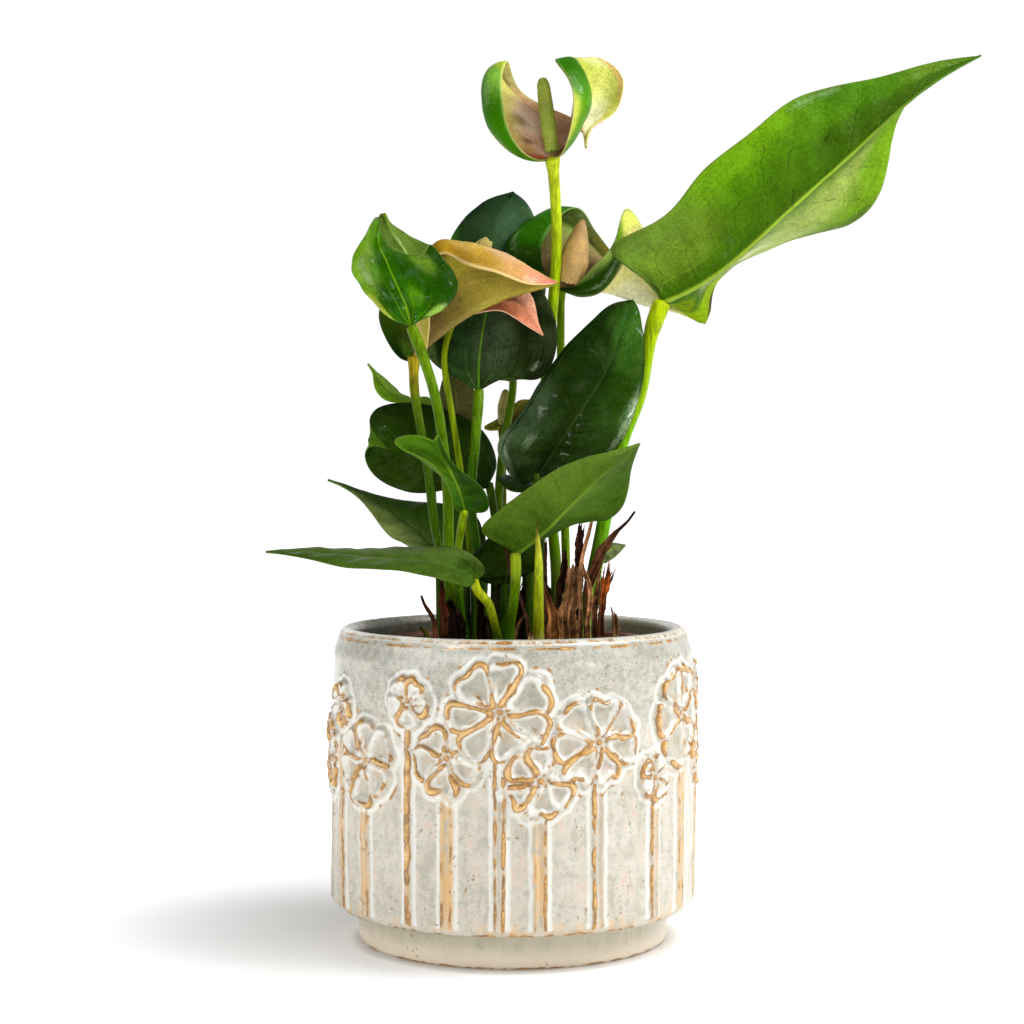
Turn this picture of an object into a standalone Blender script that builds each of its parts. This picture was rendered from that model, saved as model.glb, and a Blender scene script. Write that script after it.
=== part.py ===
"""A potted anthurium: a glazed stoneware planter with raised flowers, the grower's pot and its soil, and a
plant of separate leaves, petioles, spathes, spadices, a new shoot and dried bracts.

Blender 4.5. Lengths below are millimetres and become metres when a mesh is made. The origin is the middle
of the pot's flat underside, +Z is up and -Y is the front."""

import math

import bmesh
import bpy
import numpy as np

for leftover in list(bpy.data.objects):
    bpy.data.objects.remove(leftover, do_unlink=True)

MM = 0.001
GAP = 0.3  # clearance between pieces that touch

# The planter
POT_HEIGHT = 127
WALL_RADIUS = 73
RIM_RADIUS = 70
RIM_BORE = 64.5
FOOT_RADIUS = 63
FOOT_HEIGHT = 14
FOOT_BORE = 57
FLOOR = 8
POT_SIDES = 60

# The raised flowers on the planter: (azimuth from the front, height, radius), azimuth in degrees to the right
RAISED_FLOWERS = (
    (-85, 79, 17), (-71, 98, 10), (-53, 77, 18), (-35, 103, 10), (-22, 81, 15), (-4, 103, 21),
    (9, 74, 16), (29, 89, 18), (53, 71, 10), (68, 96, 20), (88, 76, 16), (101, 103, 10),
    (113, 88, 18), (130, 72, 12), (143, 99, 19), (159, 77, 16), (173, 103, 11), (187, 86, 19),
    (204, 72, 12), (216, 101, 14), (232, 83, 18), (249, 102, 11), (260, 80, 12),
)
PETALS = 5
RAISED_BY = 1.5
STEM_WIDTH = 5
STEM_RAISED_BY = 0.8

# The grower's pot and its soil
LINER_RADIUS = 61
LINER_BOTTOM_RADIUS = 47
LINER_TOP = 120.5
LINER_WALL = 1.4
SOIL_TOP = 118.5
GROUND = SOIL_TOP + 2 * GAP

# A stalk ends this far short of the base of what it carries. Where that blade lies back over the stalk, or
# where a spadix goes down into its spathe, the distance is the piece's own.
SEAT = 0.8
SEATS = {
    "peduncle_dried": 1.8, "petiole_edge": 1.8, "petiole_small_back": 1.4, "petiole_small_right": 1.2,
    "spadix_cream": 1.5, "spadix_dried": 1.9, "spadix_green": 2.2, "spadix_salmon": 2.7, "spadix_top": 0.7,
}

LEAF_THICKNESS = 1.0
SPATHE_THICKNESS = 1.0
BRACT_THICKNESS = 0.9


# Materials -------------------------------------------------------------------------------------------

MATERIALS = {
    # name: (base colour, roughness, metallic)
    "glaze": ((0.66, 0.64, 0.56), 0.35, 0.0),
    "terracotta_plastic": ((0.20, 0.07, 0.04), 0.55, 0.0),
    "soil": ((0.035, 0.018, 0.010), 0.95, 0.0),
    "leaf_dark": ((0.010, 0.045, 0.014), 0.30, 0.0),
    "leaf_mid": ((0.050, 0.140, 0.020), 0.40, 0.0),
    "leaf_bright": ((0.110, 0.300, 0.020), 0.35, 0.0),
    "stalk": ((0.200, 0.380, 0.030), 0.40, 0.0),
    "stalk_pale": ((0.420, 0.520, 0.060), 0.40, 0.0),
    "spathe_green": ((0.300, 0.380, 0.060), 0.30, 0.0),
    "spathe_cream": ((0.560, 0.480, 0.130), 0.35, 0.0),
    "spathe_salmon": ((0.760, 0.300, 0.200), 0.35, 0.0),
    "spadix_green": ((0.200, 0.280, 0.040), 0.60, 0.0),
    "spadix_tan": ((0.520, 0.360, 0.120), 0.60, 0.0),
    "dry_bract": ((0.130, 0.055, 0.030), 0.75, 0.0),
    "dry_blade": ((0.110, 0.085, 0.065), 0.80, 0.0),
}


def material(name):
    """The Principled material of that name, made on its first use."""
    found = bpy.data.materials.get(name)
    if found:
        return found
    colour, roughness, metallic = MATERIALS[name]
    made = bpy.data.materials.new(name)
    made.use_nodes = True
    shader = made.node_tree.nodes["Principled BSDF"]
    shader.inputs["Base Color"].default_value = (*colour, 1)
    shader.inputs["Roughness"].default_value = roughness
    shader.inputs["Metallic"].default_value = metallic
    return made


# Tools -----------------------------------------------------------------------------------------------


def add_object(name, data, finish):
    piece = bpy.data.objects.new(name, data)
    bpy.context.scene.collection.objects.link(piece)
    data.materials.append(material(finish))
    return piece


def add_mesh(name, points, faces, finish):
    """An object made of these points, in millimetres, and faces. Points that coincide become one."""
    mesh = bpy.data.meshes.new(name)
    mesh.from_pydata([tuple(float(value) * MM for value in point) for point in points], [], faces)
    form = bmesh.new()
    form.from_mesh(mesh)
    bmesh.ops.remove_doubles(form, verts=form.verts, dist=1e-7)
    bmesh.ops.dissolve_degenerate(form, edges=form.edges, dist=1e-7)
    form.to_mesh(mesh)
    form.free()
    mesh.shade_smooth()
    return add_object(name, mesh, finish)


def turned(name, profile, sides, finish):
    """A solid of revolution. The profile is (radius, height) from the axis, up the outside and back to it."""
    rings = [
        [(radius * math.sin(turn), -radius * math.cos(turn), height) for radius, height in profile]
        for turn in (2 * math.pi * side / sides for side in range(sides))
    ]
    count = len(profile)
    points = [point for ring in rings for point in ring]
    faces = [
        (side * count + step, (side + 1) % sides * count + step,
         (side + 1) % sides * count + step + 1, side * count + step + 1)
        for side in range(sides)
        for step in range(count - 1)
    ]
    piece = add_mesh(name, points, faces, finish)
    piece.data.set_sharp_from_angle(angle=math.radians(40))
    return piece


def unit(vectors):
    return vectors / np.maximum(np.linalg.norm(vectors, axis=-1, keepdims=True), 1e-9)


def smooth_curve(points, places):
    """Points at these places, 0 to 1 by length, on a natural cubic spline through the given points."""
    points = np.asarray(points, float)
    count = len(points)
    knots = np.concatenate([[0], np.cumsum(np.linalg.norm(np.diff(points, axis=0), axis=1) ** 0.5)])
    gaps = np.diff(knots)
    system = np.eye(count)
    pull = np.zeros_like(points)
    for i in range(1, count - 1):
        system[i, i - 1 : i + 2] = gaps[i - 1], 2 * (gaps[i - 1] + gaps[i]), gaps[i]
        pull[i] = 6 * ((points[i + 1] - points[i]) / gaps[i] - (points[i] - points[i - 1]) / gaps[i - 1])
    bend = np.linalg.solve(system, pull)
    at = np.linspace(0, knots[-1], 40 * count)
    span = np.clip(np.searchsorted(knots, at, side="right") - 1, 0, count - 2)
    after = ((at - knots[span]) / gaps[span])[:, None]
    before = 1 - after
    square = (gaps[span] ** 2)[:, None] / 6
    fine = before * points[span] + after * points[span + 1]
    fine += ((before**3 - before) * bend[span] + (after**3 - after) * bend[span + 1]) * square
    run = np.concatenate([[0], np.cumsum(np.linalg.norm(np.diff(fine, axis=0), axis=1))])
    return np.stack([np.interp(places, run / run[-1], fine[:, axis]) for axis in range(3)], axis=1)


def blade_grid(midrib, left, right, rows, across, cup=(0, 0), left_belly=None, right_belly=None, fan=1.6):
    """The surface of a leaf or spathe: rows that fan out from the midrib to the two margins. Left and right
    are as seen on the upper face with the tip up. Each half bows by its cup, a share of its width, or
    through its belly curve, halfway between midrib and margin."""
    rise = np.linspace(0, 1, rows + 1)
    base, tip = midrib[0], midrib[-1]
    along = rise**fan
    middle = smooth_curve(midrib, along)
    ahead = smooth_curve(midrib, np.clip(along + 0.02, 0, 1))
    behind = smooth_curve(midrib, np.clip(along - 0.02, 0, 1))
    heading = unit(ahead - behind)
    margins = [smooth_curve([base, *margin, tip], rise) for margin in (left, right)]
    upward = unit(np.cross(margins[1] - margins[0], heading))
    upward[0], upward[-1] = upward[1], upward[-2]
    grid = np.zeros((rows + 1, 2 * across + 1, 3))
    grid[:, across] = middle
    for side, margin, bow, belly in zip((-1, 1), margins, cup, (left_belly, right_belly)):
        width = margin - middle
        outward = unit(width)
        lift = side * np.cross(outward, heading) + 0.25 * upward
        lift = unit(lift - outward * (lift * outward).sum(axis=1, keepdims=True))
        lift[1:-1] = unit(lift[:-2] + 2 * lift[1:-1] + lift[2:])
        lift *= np.linalg.norm(width, axis=1, keepdims=True) * bow
        halfway = smooth_curve([base, *belly, tip], rise) if belly else middle + width / 2 + lift
        for step in range(1, across + 1):
            out = step / across
            grid[:, across + side * step] = (
                middle * (1 - out) * (1 - 2 * out) + halfway * 4 * out * (1 - out) + margin * out * (2 * out - 1)
            )
    return grid


def sheet(name, grid, thickness, finish):
    """A closed solid of this thickness on both sides of a grid of points."""
    rows, columns = grid.shape[:2]
    faces = [
        (row * columns + column, row * columns + column + 1,
         (row + 1) * columns + column + 1, (row + 1) * columns + column)
        for row in range(rows - 1)
        for column in range(columns - 1)
    ]
    piece = add_mesh(name, grid.reshape(-1, 3), faces, finish)
    shell = piece.modifiers.new("thickness", "SOLIDIFY")
    shell.thickness = thickness * MM
    shell.offset = 0
    return piece


def blade(name, finish, thickness, rows, across, **shape):
    return sheet(name, blade_grid(rows=rows, across=across, **shape), thickness, finish)


def stalk(name, finish, root, route, radii, points=9, resolution=1):
    """A round tapering stalk, from its (x, y) root on the soil through the points of its route."""
    start = [(*root, GROUND), (*root, GROUND + 4)] if root else []
    places = np.linspace(0, 1, points)
    line = smooth_curve([*start, *route], places)
    girth = np.interp(places, np.linspace(0, 1, len(radii)), radii)
    curve = bpy.data.curves.new(name, "CURVE")
    curve.dimensions = "3D"
    curve.bevel_depth = MM
    curve.bevel_resolution = resolution
    curve.use_fill_caps = True
    spline = curve.splines.new("POLY")
    spline.points.add(points - 1)
    for point, place, radius in zip(spline.points, line, girth):
        point.co = (*(place * MM), 1)
        point.radius = radius
    return add_object(name, curve, finish)


def bract(name, root, route, widths, curl):
    """A dried strip or sheath that stands on the soil, its edges curled back."""
    rows = 6
    places = np.linspace(0, 1, rows)
    line = smooth_curve([(*root, GROUND), *route], places)
    line[0, 2] = GROUND
    side = unit(np.cross((0, 1, 0), np.gradient(line, axis=0)))
    side[0] = (1, 0, 0)
    half = np.interp(places, np.linspace(0, 1, len(widths)), widths)[:, None] / 2
    back = np.array((0, curl, 0))
    grid = np.stack([line - side * half + back, line, line + side * half + back], axis=1)
    return sheet(name, grid, BRACT_THICKNESS, "dry_bract")


# The planter -----------------------------------------------------------------------------------------


def on_wall(azimuth, height, radius):
    return (radius * math.sin(azimuth), -radius * math.cos(azimuth), height)


def raised_pad(name, outline, azimuth, height, raised_by):
    """A closed pad on the planter's wall, its outline in millimetres round (azimuth, height)."""
    depths = (WALL_RADIUS - 2, WALL_RADIUS + raised_by)
    corners = [
        [on_wall(azimuth + u / WALL_RADIUS, height + v, depth) for u, v in outline] for depth in depths
    ]
    centres = [on_wall(azimuth, height, depth) for depth in depths]
    count = len(outline)
    points = [*corners[0], *corners[1], *centres]
    faces = []
    for i in range(count):
        j = (i + 1) % count
        faces += [(i, j, count + j, count + i), (j, i, 2 * count), (count + i, count + j, 2 * count + 1)]
    pad = add_mesh(name, points, faces, "glaze")
    pad.hide_render = True
    pad.display_type = "WIRE"
    return pad


def petal_outline(radius):
    """Five round petals, as corners of a closed outline."""
    corners = 4 * PETALS
    turns = [2 * math.pi * (corner + 0.5) / corners for corner in range(corners)]
    reach = [radius * (0.72 + 0.30 * abs(math.cos(PETALS / 2 * turn)) ** 0.8) for turn in turns]
    return [(r * math.sin(turn), r * math.cos(turn)) for r, turn in zip(reach, turns)][::-1]


def make_planter():
    profile = [
        (0, 0), (FOOT_RADIUS - 1.5, 0), (FOOT_RADIUS, 1.5), (FOOT_RADIUS + 0.3, FOOT_HEIGHT),
        (WALL_RADIUS - 2, FOOT_HEIGHT + 0.6), (WALL_RADIUS, FOOT_HEIGHT + 3),
        (WALL_RADIUS, POT_HEIGHT - 10), (RIM_RADIUS + 1.2, POT_HEIGHT - 4), (RIM_RADIUS, POT_HEIGHT - 1.2),
        (RIM_RADIUS - 2.5, POT_HEIGHT), (RIM_BORE + 1, POT_HEIGHT - 1), (RIM_BORE, POT_HEIGHT - 4),
        (RIM_BORE, 2 * FOOT_HEIGHT), (FOOT_BORE, FLOOR + 4), (FOOT_BORE - 4, FLOOR), (0, FLOOR),
    ]
    planter = turned("planter", profile, POT_SIDES, "glaze")
    pads = bpy.data.collections.new("raised_ornament")
    bpy.context.scene.collection.children.link(pads)
    for number, (degrees, height, radius) in enumerate(RAISED_FLOWERS):
        azimuth = math.radians(degrees)
        stem_bottom = FOOT_HEIGHT + 3.5
        stem_top = height - radius / 2
        half_width, half_height = STEM_WIDTH / 2, (stem_top - stem_bottom) / 2
        stem = [(half_width, half_height), (-half_width, half_height),
                (-half_width, -half_height), (half_width, -half_height)]
        for piece in (
            raised_pad(f"flower_pad_{number}", petal_outline(radius), azimuth, height, RAISED_BY),
            raised_pad(f"stem_pad_{number}", stem, azimuth, stem_bottom + half_height, STEM_RAISED_BY),
        ):
            bpy.context.scene.collection.objects.unlink(piece)
            pads.objects.link(piece)
    union = planter.modifiers.new("ornament", "BOOLEAN")
    union.operation = "UNION"
    union.operand_type = "COLLECTION"
    union.collection = pads


def make_liner_and_soil():
    bottom = FLOOR + GAP
    slope = (LINER_RADIUS - LINER_BOTTOM_RADIUS) / (LINER_TOP - bottom)

    def bore(height):
        return LINER_BOTTOM_RADIUS - LINER_WALL + slope * (height - bottom)

    floor = bottom + LINER_WALL
    turned("nursery_pot", [
        (0, bottom), (LINER_BOTTOM_RADIUS, bottom), (LINER_RADIUS, LINER_TOP - 6), (LINER_RADIUS + 1.8, LINER_TOP - 6),
        (LINER_RADIUS + 1.8, LINER_TOP), (bore(LINER_TOP), LINER_TOP), (bore(floor), floor), (0, floor),
    ], 40, "terracotta_plastic")
    turned("soil", [
        (0, floor + GAP), (bore(floor) - GAP, floor + GAP), (bore(SOIL_TOP) - GAP, SOIL_TOP), (0, SOIL_TOP),
    ], 40, "soil")


# The plant -------------------------------------------------------------------------------------------
# Every point is (x, y, z). A midrib runs from the stalk to the tip, and each margin lists what lies
# between those two: the basal lobe, the widest part and the shoulder.

LEAVES = {
    "leaf_tall": dict(
        finish="leaf_bright",
        midrib=[(61, 2, 259), (81, -4, 269), (110, -8, 294), (139, -2, 320), (167, 8, 345), (195, 22, 363)],
        left=[(70, 7, 255), (79, 11, 251), (82, 14, 260), (86, 15, 270), (121, 16, 287), (141, 14, 293),
            (153, 12, 309), (160, 12, 338)],
        right=[(53, 2, 269), (40, 4, 281), (60, 2, 293), (76, 0, 311), (97, 0, 328), (117, 4, 343),
            (151, 10, 352), (170, 14, 358)],
        cup=(0.06, 0.06),
    ),
    "leaf_left": dict(
        finish="leaf_bright",
        midrib=[(-40, -33, 247), (-43, -31, 259), (-47, -29, 273), (-49, -30, 284), (-48, -34, 290),
            (-46, -41, 283), (-41, -44, 274)],
        left=[(-44, -32, 249), (-53, -26, 257), (-62, -21, 264), (-64, -21, 272), (-61, -24, 282),
            (-54, -30, 291), (-51, -39, 285), (-47, -43, 276)],
        right=[(-35, -34, 250), (-27, -31, 254), (-22, -30, 263), (-26, -31, 272), (-32, -36, 278),
            (-34, -41, 275)],
        cup=(0.08, 0.1),
        fan=1.4,
    ),
    "leaf_centre": dict(
        finish="leaf_dark",
        midrib=[(-14, 5, 223), (-14, 7, 234), (-12, 12, 250), (-8, 18, 267), (-3, 24, 277)],
        left=[(-21, 5, 227), (-35, 9, 237), (-35, 17, 254), (-24, 22, 269), (-13, 24, 276)],
        right=[(-2, 4, 228), (11, 5, 228), (18, 7, 242), (16, 9, 257), (10, 15, 267), (3, 21, 274)],
        cup=(0.05, 0.05),
    ),
    "leaf_back": dict(
        finish="leaf_dark",
        midrib=[(-2, 33, 246), (-5, 30, 262), (-7, 28, 283), (-5, 31, 298), (0, 36, 308)],
        left=[(-14, 35, 247), (-27, 33, 262), (-27, 30, 285), (-17, 32, 300), (-7, 35, 306)],
        right=[(7, 37, 250), (14, 37, 267), (11, 35, 288), (8, 35, 299), (4, 36, 305)],
        cup=(0.06, 0.06),
    ),
    "leaf_glossy": dict(
        finish="leaf_dark",
        midrib=[(10, -14, 189), (20, -17, 203), (30, -16, 218), (39, -11, 233), (44, -4, 247),
            (49, 4, 260)],
        left=[(4, -14, 185), (-4, -16, 193), (-6, -15, 201), (0, -12, 210), (10, -8, 224), (23, -3, 242),
            (36, 2, 255), (43, 4, 259)],
        right=[(20, -20, 186), (35, -22, 192), (46, -20, 207), (52, -14, 226), (53, -4, 245),
            (51, 3, 257)],
        cup=(0.06, 0.06),
    ),
    "leaf_front": dict(
        finish="leaf_mid",
        midrib=[(1, -34, 158), (12, -40, 167), (25, -45, 180), (38, -47, 192), (49, -47, 201)],
        left=[(7, -32, 161), (15, -30, 165), (27, -30, 170), (37, -30, 171), (44, -33, 179),
            (46, -38, 190), (47, -43, 195)],
        right=[(-4, -36, 161), (-12, -42, 167), (-4, -48, 176), (13, -53, 189), (28, -53, 196),
            (41, -51, 199)],
        cup=(0.05, 0.07),
    ),
    "leaf_low_dark": dict(
        finish="leaf_dark",
        midrib=[(-3, -18, 145), (-1, -20, 155), (3, -18, 167), (7, -14, 179)],
        left=[(-12, -18, 146), (-17, -16, 153), (-10, -14, 163), (-1, -12, 174)],
        right=[(3, -20, 148), (10, -22, 152), (13, -20, 165), (12, -16, 174)],
        cup=(0.05, 0.05),
    ),
    "leaf_long": dict(
        finish="leaf_mid",
        midrib=[(-15, -40, 148), (-28, -43, 154), (-48, -44, 156), (-71, -44, 158), (-96, -44, 159)],
        left=[(-17, -50, 146), (-28, -58, 149), (-47, -60, 153), (-66, -56, 154), (-82, -49, 157)],
        right=[(-11, -33, 151), (-16, -28, 157), (-33, -26, 160), (-61, -30, 159), (-79, -38, 160)],
        cup=(0.08, 0.08),
    ),
    "leaf_left_back": dict(
        finish="leaf_dark",
        midrib=[(-23, 10, 148), (-33, 14, 158), (-49, 22, 171), (-67, 32, 181), (-79, 38, 186)],
        left=[(-30, 6, 148), (-42, 8, 158), (-51, 13, 163), (-59, 21, 172), (-69, 31, 181)],
        right=[(-15, 15, 153), (-13, 17, 166), (-18, 20, 173), (-32, 25, 176), (-55, 31, 179),
            (-69, 35, 183)],
        cup=(0.05, 0.05),
    ),
    "leaf_round": dict(
        finish="leaf_dark",
        midrib=[(-10, 11, 185), (-24, 11, 194), (-41, 11, 200), (-53, 9, 203), (-59, 4, 203),
            (-51, -2, 199)],
        left=[(-10, 9, 183), (-21, 9, 183), (-34, 11, 181), (-46, 11, 182), (-57, 10, 188),
            (-61, 7, 196), (-58, 2, 200)],
        right=[(-7, 15, 192), (-10, 17, 203), (-24, 18, 214), (-41, 18, 218), (-54, 15, 217),
            (-59, 8, 211)],
        cup=(0.06, 0.06),
        fan=1.3,
    ),
    "leaf_small_back": dict(
        finish="leaf_mid",
        midrib=[(-34, 27, 218), (-45, 27, 220), (-54, 27, 225), (-61, 27, 235)],
        left=[(-37, 23, 215), (-47, 23, 218), (-54, 23, 220), (-58, 24, 225), (-59, 26, 231)],
        right=[(-36, 29, 221), (-45, 30, 221), (-52, 30, 227), (-58, 28, 232)],
        cup=(0.05, 0.05),
    ),
    "leaf_old": dict(
        finish="dry_blade",
        midrib=[(-22, 21, 207), (-23, 21, 215), (-24, 21, 224), (-23, 21, 235)],
        left=[(-29, 21, 210), (-31, 21, 220), (-28, 21, 231)],
        right=[(-16, 21, 210), (-16, 21, 220), (-18, 21, 231)],
        cup=(0.05, 0.05),
    ),
    "leaf_young": dict(
        finish="leaf_bright",
        midrib=[(-19, -33, 175), (-22, -36, 185), (-26, -38, 193), (-29, -40, 199), (-29, -43, 205)],
        left=[(-22, -36, 175), (-25, -42, 184), (-31, -44, 192), (-39, -45, 197), (-46, -44, 202),
            (-36, -44, 204), (-31, -44, 202)],
        right=[(-15, -33, 174), (-10, -33, 175), (-11, -34, 182), (-17, -36, 188), (-24, -38, 194),
            (-27, -41, 200)],
        cup=(-0.08, -0.05),
    ),
    "leaf_edge": dict(
        finish="leaf_dark",
        midrib=[(11, 2, 185), (3, 0, 186), (-7, -3, 187)],
        left=[(7, -6, 182), (0, -8, 182), (-5, -6, 185)],
        right=[(10, 12, 187), (2, 10, 188), (-4, 4, 188)],
        cup=(0.05, 0.05),
    ),
    "leaf_small_right": dict(
        finish="leaf_mid",
        midrib=[(34, 14, 152), (41, 15, 157), (47, 16, 159)],
        left=[(38, 10, 152), (43, 12, 155)],
        right=[(35, 18, 158), (41, 18, 160)],
        cup=(0.05, 0.05),
    ),
}

SPATHES = {
    "spathe_cream": dict(
        finish="spathe_cream",
        midrib=[(-40, -6, 236), (-31, -9, 243), (-17, -11, 253), (0, -10, 261), (18, -9, 266)],
        left=[(-46, 0, 236), (-53, 6, 246), (-55, 9, 257), (-46, 12, 274), (-32, 11, 283), (-14, 9, 284),
            (4, 2, 277), (12, -4, 271)],
        right=[(-35, -12, 238), (-33, -21, 254), (-29, -23, 276), (-20, -23, 273), (-7, -21, 269),
            (6, -15, 265)],
        cup=(-0.18, -0.16),
    ),
    "spathe_salmon": dict(
        finish="spathe_salmon",
        midrib=[(-23, 8, 255), (-13, 5, 259), (0, 0, 259), (7, -4, 254), (12, -7, 245)],
        left=[(-23, 12, 261), (-11, 11, 265), (2, 6, 266), (8, 2, 261), (10, -3, 252)],
        right=[(-20, 5, 254), (-12, 1, 255), (-4, -3, 255), (4, -6, 250)],
        cup=(-0.12, -0.1),
    ),
    "spathe_green": dict(
        finish="spathe_green",
        midrib=[(20, 23, 266), (30, 19, 265), (41, 18, 264), (53, 21, 260), (67, 25, 257), (81, 27, 252)],
        left=[(16, 19, 268), (12, 16, 277), (12, 17, 283), (15, 21, 290), (21, 27, 298), (28, 33, 300),
            (33, 35, 294), (38, 36, 287), (48, 36, 276), (64, 34, 266), (76, 30, 259)],
        right=[(26, 13, 267), (33, 11, 274), (38, 11, 279), (43, 14, 288), (47, 19, 299), (54, 24, 292),
            (63, 25, 277), (77, 24, 268), (83, 24, 260)],
        left_belly=[(15, 21, 267), (2, 21, 275), (-2, 24, 283), (5, 29, 290), (18, 35, 295), (30, 39, 290),
            (37, 37, 281), (49, 34, 269), (65, 32, 260)],
        right_belly=[(24, 14, 264), (32, 10, 263), (38, 9, 266), (45, 11, 275), (51, 19, 279), (58, 23, 274),
            (70, 25, 261), (78, 25, 256)],
    ),
    "spathe_top": dict(
        finish="spathe_green",
        midrib=[(16, 2, 318), (20, 9, 324), (24, 15, 329), (28, 18, 334), (30, 15, 331), (30, 9, 323)],
        left=[(11, -4, 316), (4, -14, 318), (-2, -20, 327), (-4, -20, 339), (-4, -12, 350),
            (-2, -3, 356), (1, 7, 349), (9, 15, 343), (17, 19, 340), (24, 19, 337), (29, 15, 332)],
        right=[(20, -8, 318), (23, -15, 327), (24, -17, 336), (22, -13, 347), (17, -5, 356), (24, 9, 358),
            (34, 16, 361), (43, 18, 357), (46, 17, 349), (41, 14, 337), (33, 11, 332)],
        left_belly=[(10, -3, 316), (-2, -10, 320), (-10, -11, 330), (-12, -9, 341), (-10, -2, 350),
            (-2, 8, 347), (8, 16, 334), (18, 19, 332), (27, 17, 333)],
        right_belly=[(21, -2, 320), (27, -7, 328), (31, -8, 338), (29, -3, 349), (27, 8, 354), (34, 17, 352),
            (39, 20, 346), (37, 17, 336), (32, 13, 331)],
        fan=1.5,
    ),
    "spathe_dried": dict(
        finish="dry_blade",
        midrib=[(-5, 37, 209), (0, 39, 212), (3, 39, 217), (7, 36, 220)],
        left=[(-7, 35, 207), (-12, 33, 208), (-8, 36, 211), (-1, 41, 217), (3, 41, 220)],
        right=[(-2, 35, 208), (2, 35, 212), (6, 34, 217)],
        cup=(-0.15, -0.1),
    ),
}

# Petioles carry leaves and peduncles carry flowers: (finish, root, route, radii from root to top). The route
# ends at the base of what the stalk carries, so that point is left out.
STALKS = {
    "peduncle_top": ("stalk_pale", (17, 6),
        [(18, 8, 141), (16, 11, 170), (13, 15, 207), (14, 17, 232), (16, 16, 253), (18, 11, 285),
         (17, 6, 307)],
        (2.6, 2.4, 2.2, 2.2, 2.2, 2.2, 2.2, 2.4)),
    "petiole_tall": ("stalk", (29, -6),
        [(31, -4, 138), (35, -2, 158), (40, 0, 184), (46, 2, 206), (52, 3, 222), (56, 3, 244)],
        (3.0, 3.2, 3.0, 2.8, 2.8, 2.8, 2.8, 3.4)),
    "petiole_left": ("stalk", (-25, -12),
        [(-26, -15, 154), (-26, -20, 179), (-28, -27, 203), (-31, -31, 221), (-36, -33, 237)],
        (2.6, 2.4, 2.2, 2.1, 2.0, 2.0)),
    "peduncle_cream": ("stalk", (-19, -8),
        [(-26, -8, 148), (-31, -9, 164), (-34, -10, 187), (-38, -9, 211), (-40, -8, 225)],
        (2.2, 1.8, 1.8, 1.8, 1.8, 2.0)),
    "peduncle_salmon": ("stalk_pale", (-14, 4),
        [(-18, 5, 162), (-21, 5, 186), (-26, 4, 219), (-28, 5, 239)],
        (1.8, 1.4, 1.4, 1.3, 1.3)),
    "petiole_centre": ("stalk", (-11, -1),
        [(-14, -3, 154), (-17, -3, 178), (-16, -3, 195), (-15, -2, 207)],
        (2.0, 1.8, 1.9, 2.0, 2.0)),
    "petiole_back": ("stalk", (-2, 14),
        [(-5, 17, 153), (-6, 22, 178), (-3, 27, 207), (0, 31, 226)],
        (2.0, 1.8, 1.8, 1.7, 1.7)),
    "petiole_glossy": ("stalk", (7, -8),
        [(7, -8, 146), (8, -10, 166)],
        (1.9, 1.8, 1.8, 1.8)),
    "petiole_front": ("stalk_pale", (-2, -24),
        [(0, -30, 137), (1, -34, 148)],
        (2.0, 1.9, 1.9, 1.9)),
    "peduncle_green": ("stalk", (22, 13),
        [(22, 15, 153), (21, 20, 186), (20, 23, 220), (20, 23, 245)],
        (1.9, 1.8, 1.7, 1.6, 1.6)),
    "petiole_low_dark": ("stalk", (-5, -16),
        [(-4, -17, 134)],
        (1.7, 1.6, 1.6)),
    "petiole_long": ("stalk_pale", (-6, -26),
        [(-8, -33, 133), (-10, -37, 139), (-14, -40, 144)],
        (1.6, 1.6, 1.6, 1.6, 1.6)),
    "petiole_left_back": ("stalk", (-15, 10),
        [(-19, 10, 135)],
        (1.7, 1.6, 1.6)),
    "petiole_round": ("stalk", (-7, 13),
        [(-7, 13, 153), (-8, 12, 174)],
        (1.6, 1.5, 1.5, 1.5)),
    "petiole_young": ("stalk", (-20, -14),
        [(-22, -20, 151), (-21, -26, 165)],
        (1.6, 1.5, 1.5, 1.5)),
    "peduncle_dried": ("stalk", (-4, 24),
        [(-4, 28, 152), (-4, 32, 188)],
        (1.4, 1.3, 1.2, 1.2)),
    "petiole_small_right": ("stalk", (33, 8),
        [(34, 10, 132), (36, 12, 143)],
        (1.2, 1.1, 1.1, 1.0)),
    "petiole_edge": ("stalk", (2, -2),
        [(0, -2, 150), (4, -1, 170)],
        (1.3, 1.2, 1.1, 1.1)),
    "petiole_small_back": ("stalk", (-31, 24),
        [(-32, 34, 152), (-34, 33, 186)],
        (1.3, 1.2, 1.1, 1.1)),
    "petiole_old": ("stalk", (-16, 20),
        [(-17, 27, 152), (-20, 26, 182)],
        (1.4, 1.3, 1.2, 1.2)),
}

# Spadices stand in their spathes: (finish, route from base to tip, radii)
SPADICES = {
    "spadix_top": ("spadix_green", [(16, -2, 320), (14, -2, 333), (12, -2, 349)], (2.6, 2.9, 2.7, 2.2)),
    "spadix_green": ("spadix_tan", [(21, 17, 270), (23, 17, 278), (26, 18, 285), (29, 19, 293)], (2.4, 2.9, 2.7, 1.6)),
    "spadix_cream": ("spadix_tan", [(-32, -10, 248), (-22, -5, 265), (-10, 0, 284)], (2.6, 3.4, 3.2)),
    "spadix_dried": ("spadix_tan", [(-4, 34, 211), (-4, 34, 217), (-3, 34, 224)], (2.0, 2.3, 1.2)),
    "spadix_salmon": ("spadix_tan", [(-20, 6, 259), (-15, 5, 261), (-9, 4, 263)], (1.2, 1.3, 1.0)),
}

SHOOT = ((10, -32), [(10, -36, 140), (10, -41, 156), (9, -48, 170)], (2.8, 2.1, 1.6, 0.3))

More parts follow.
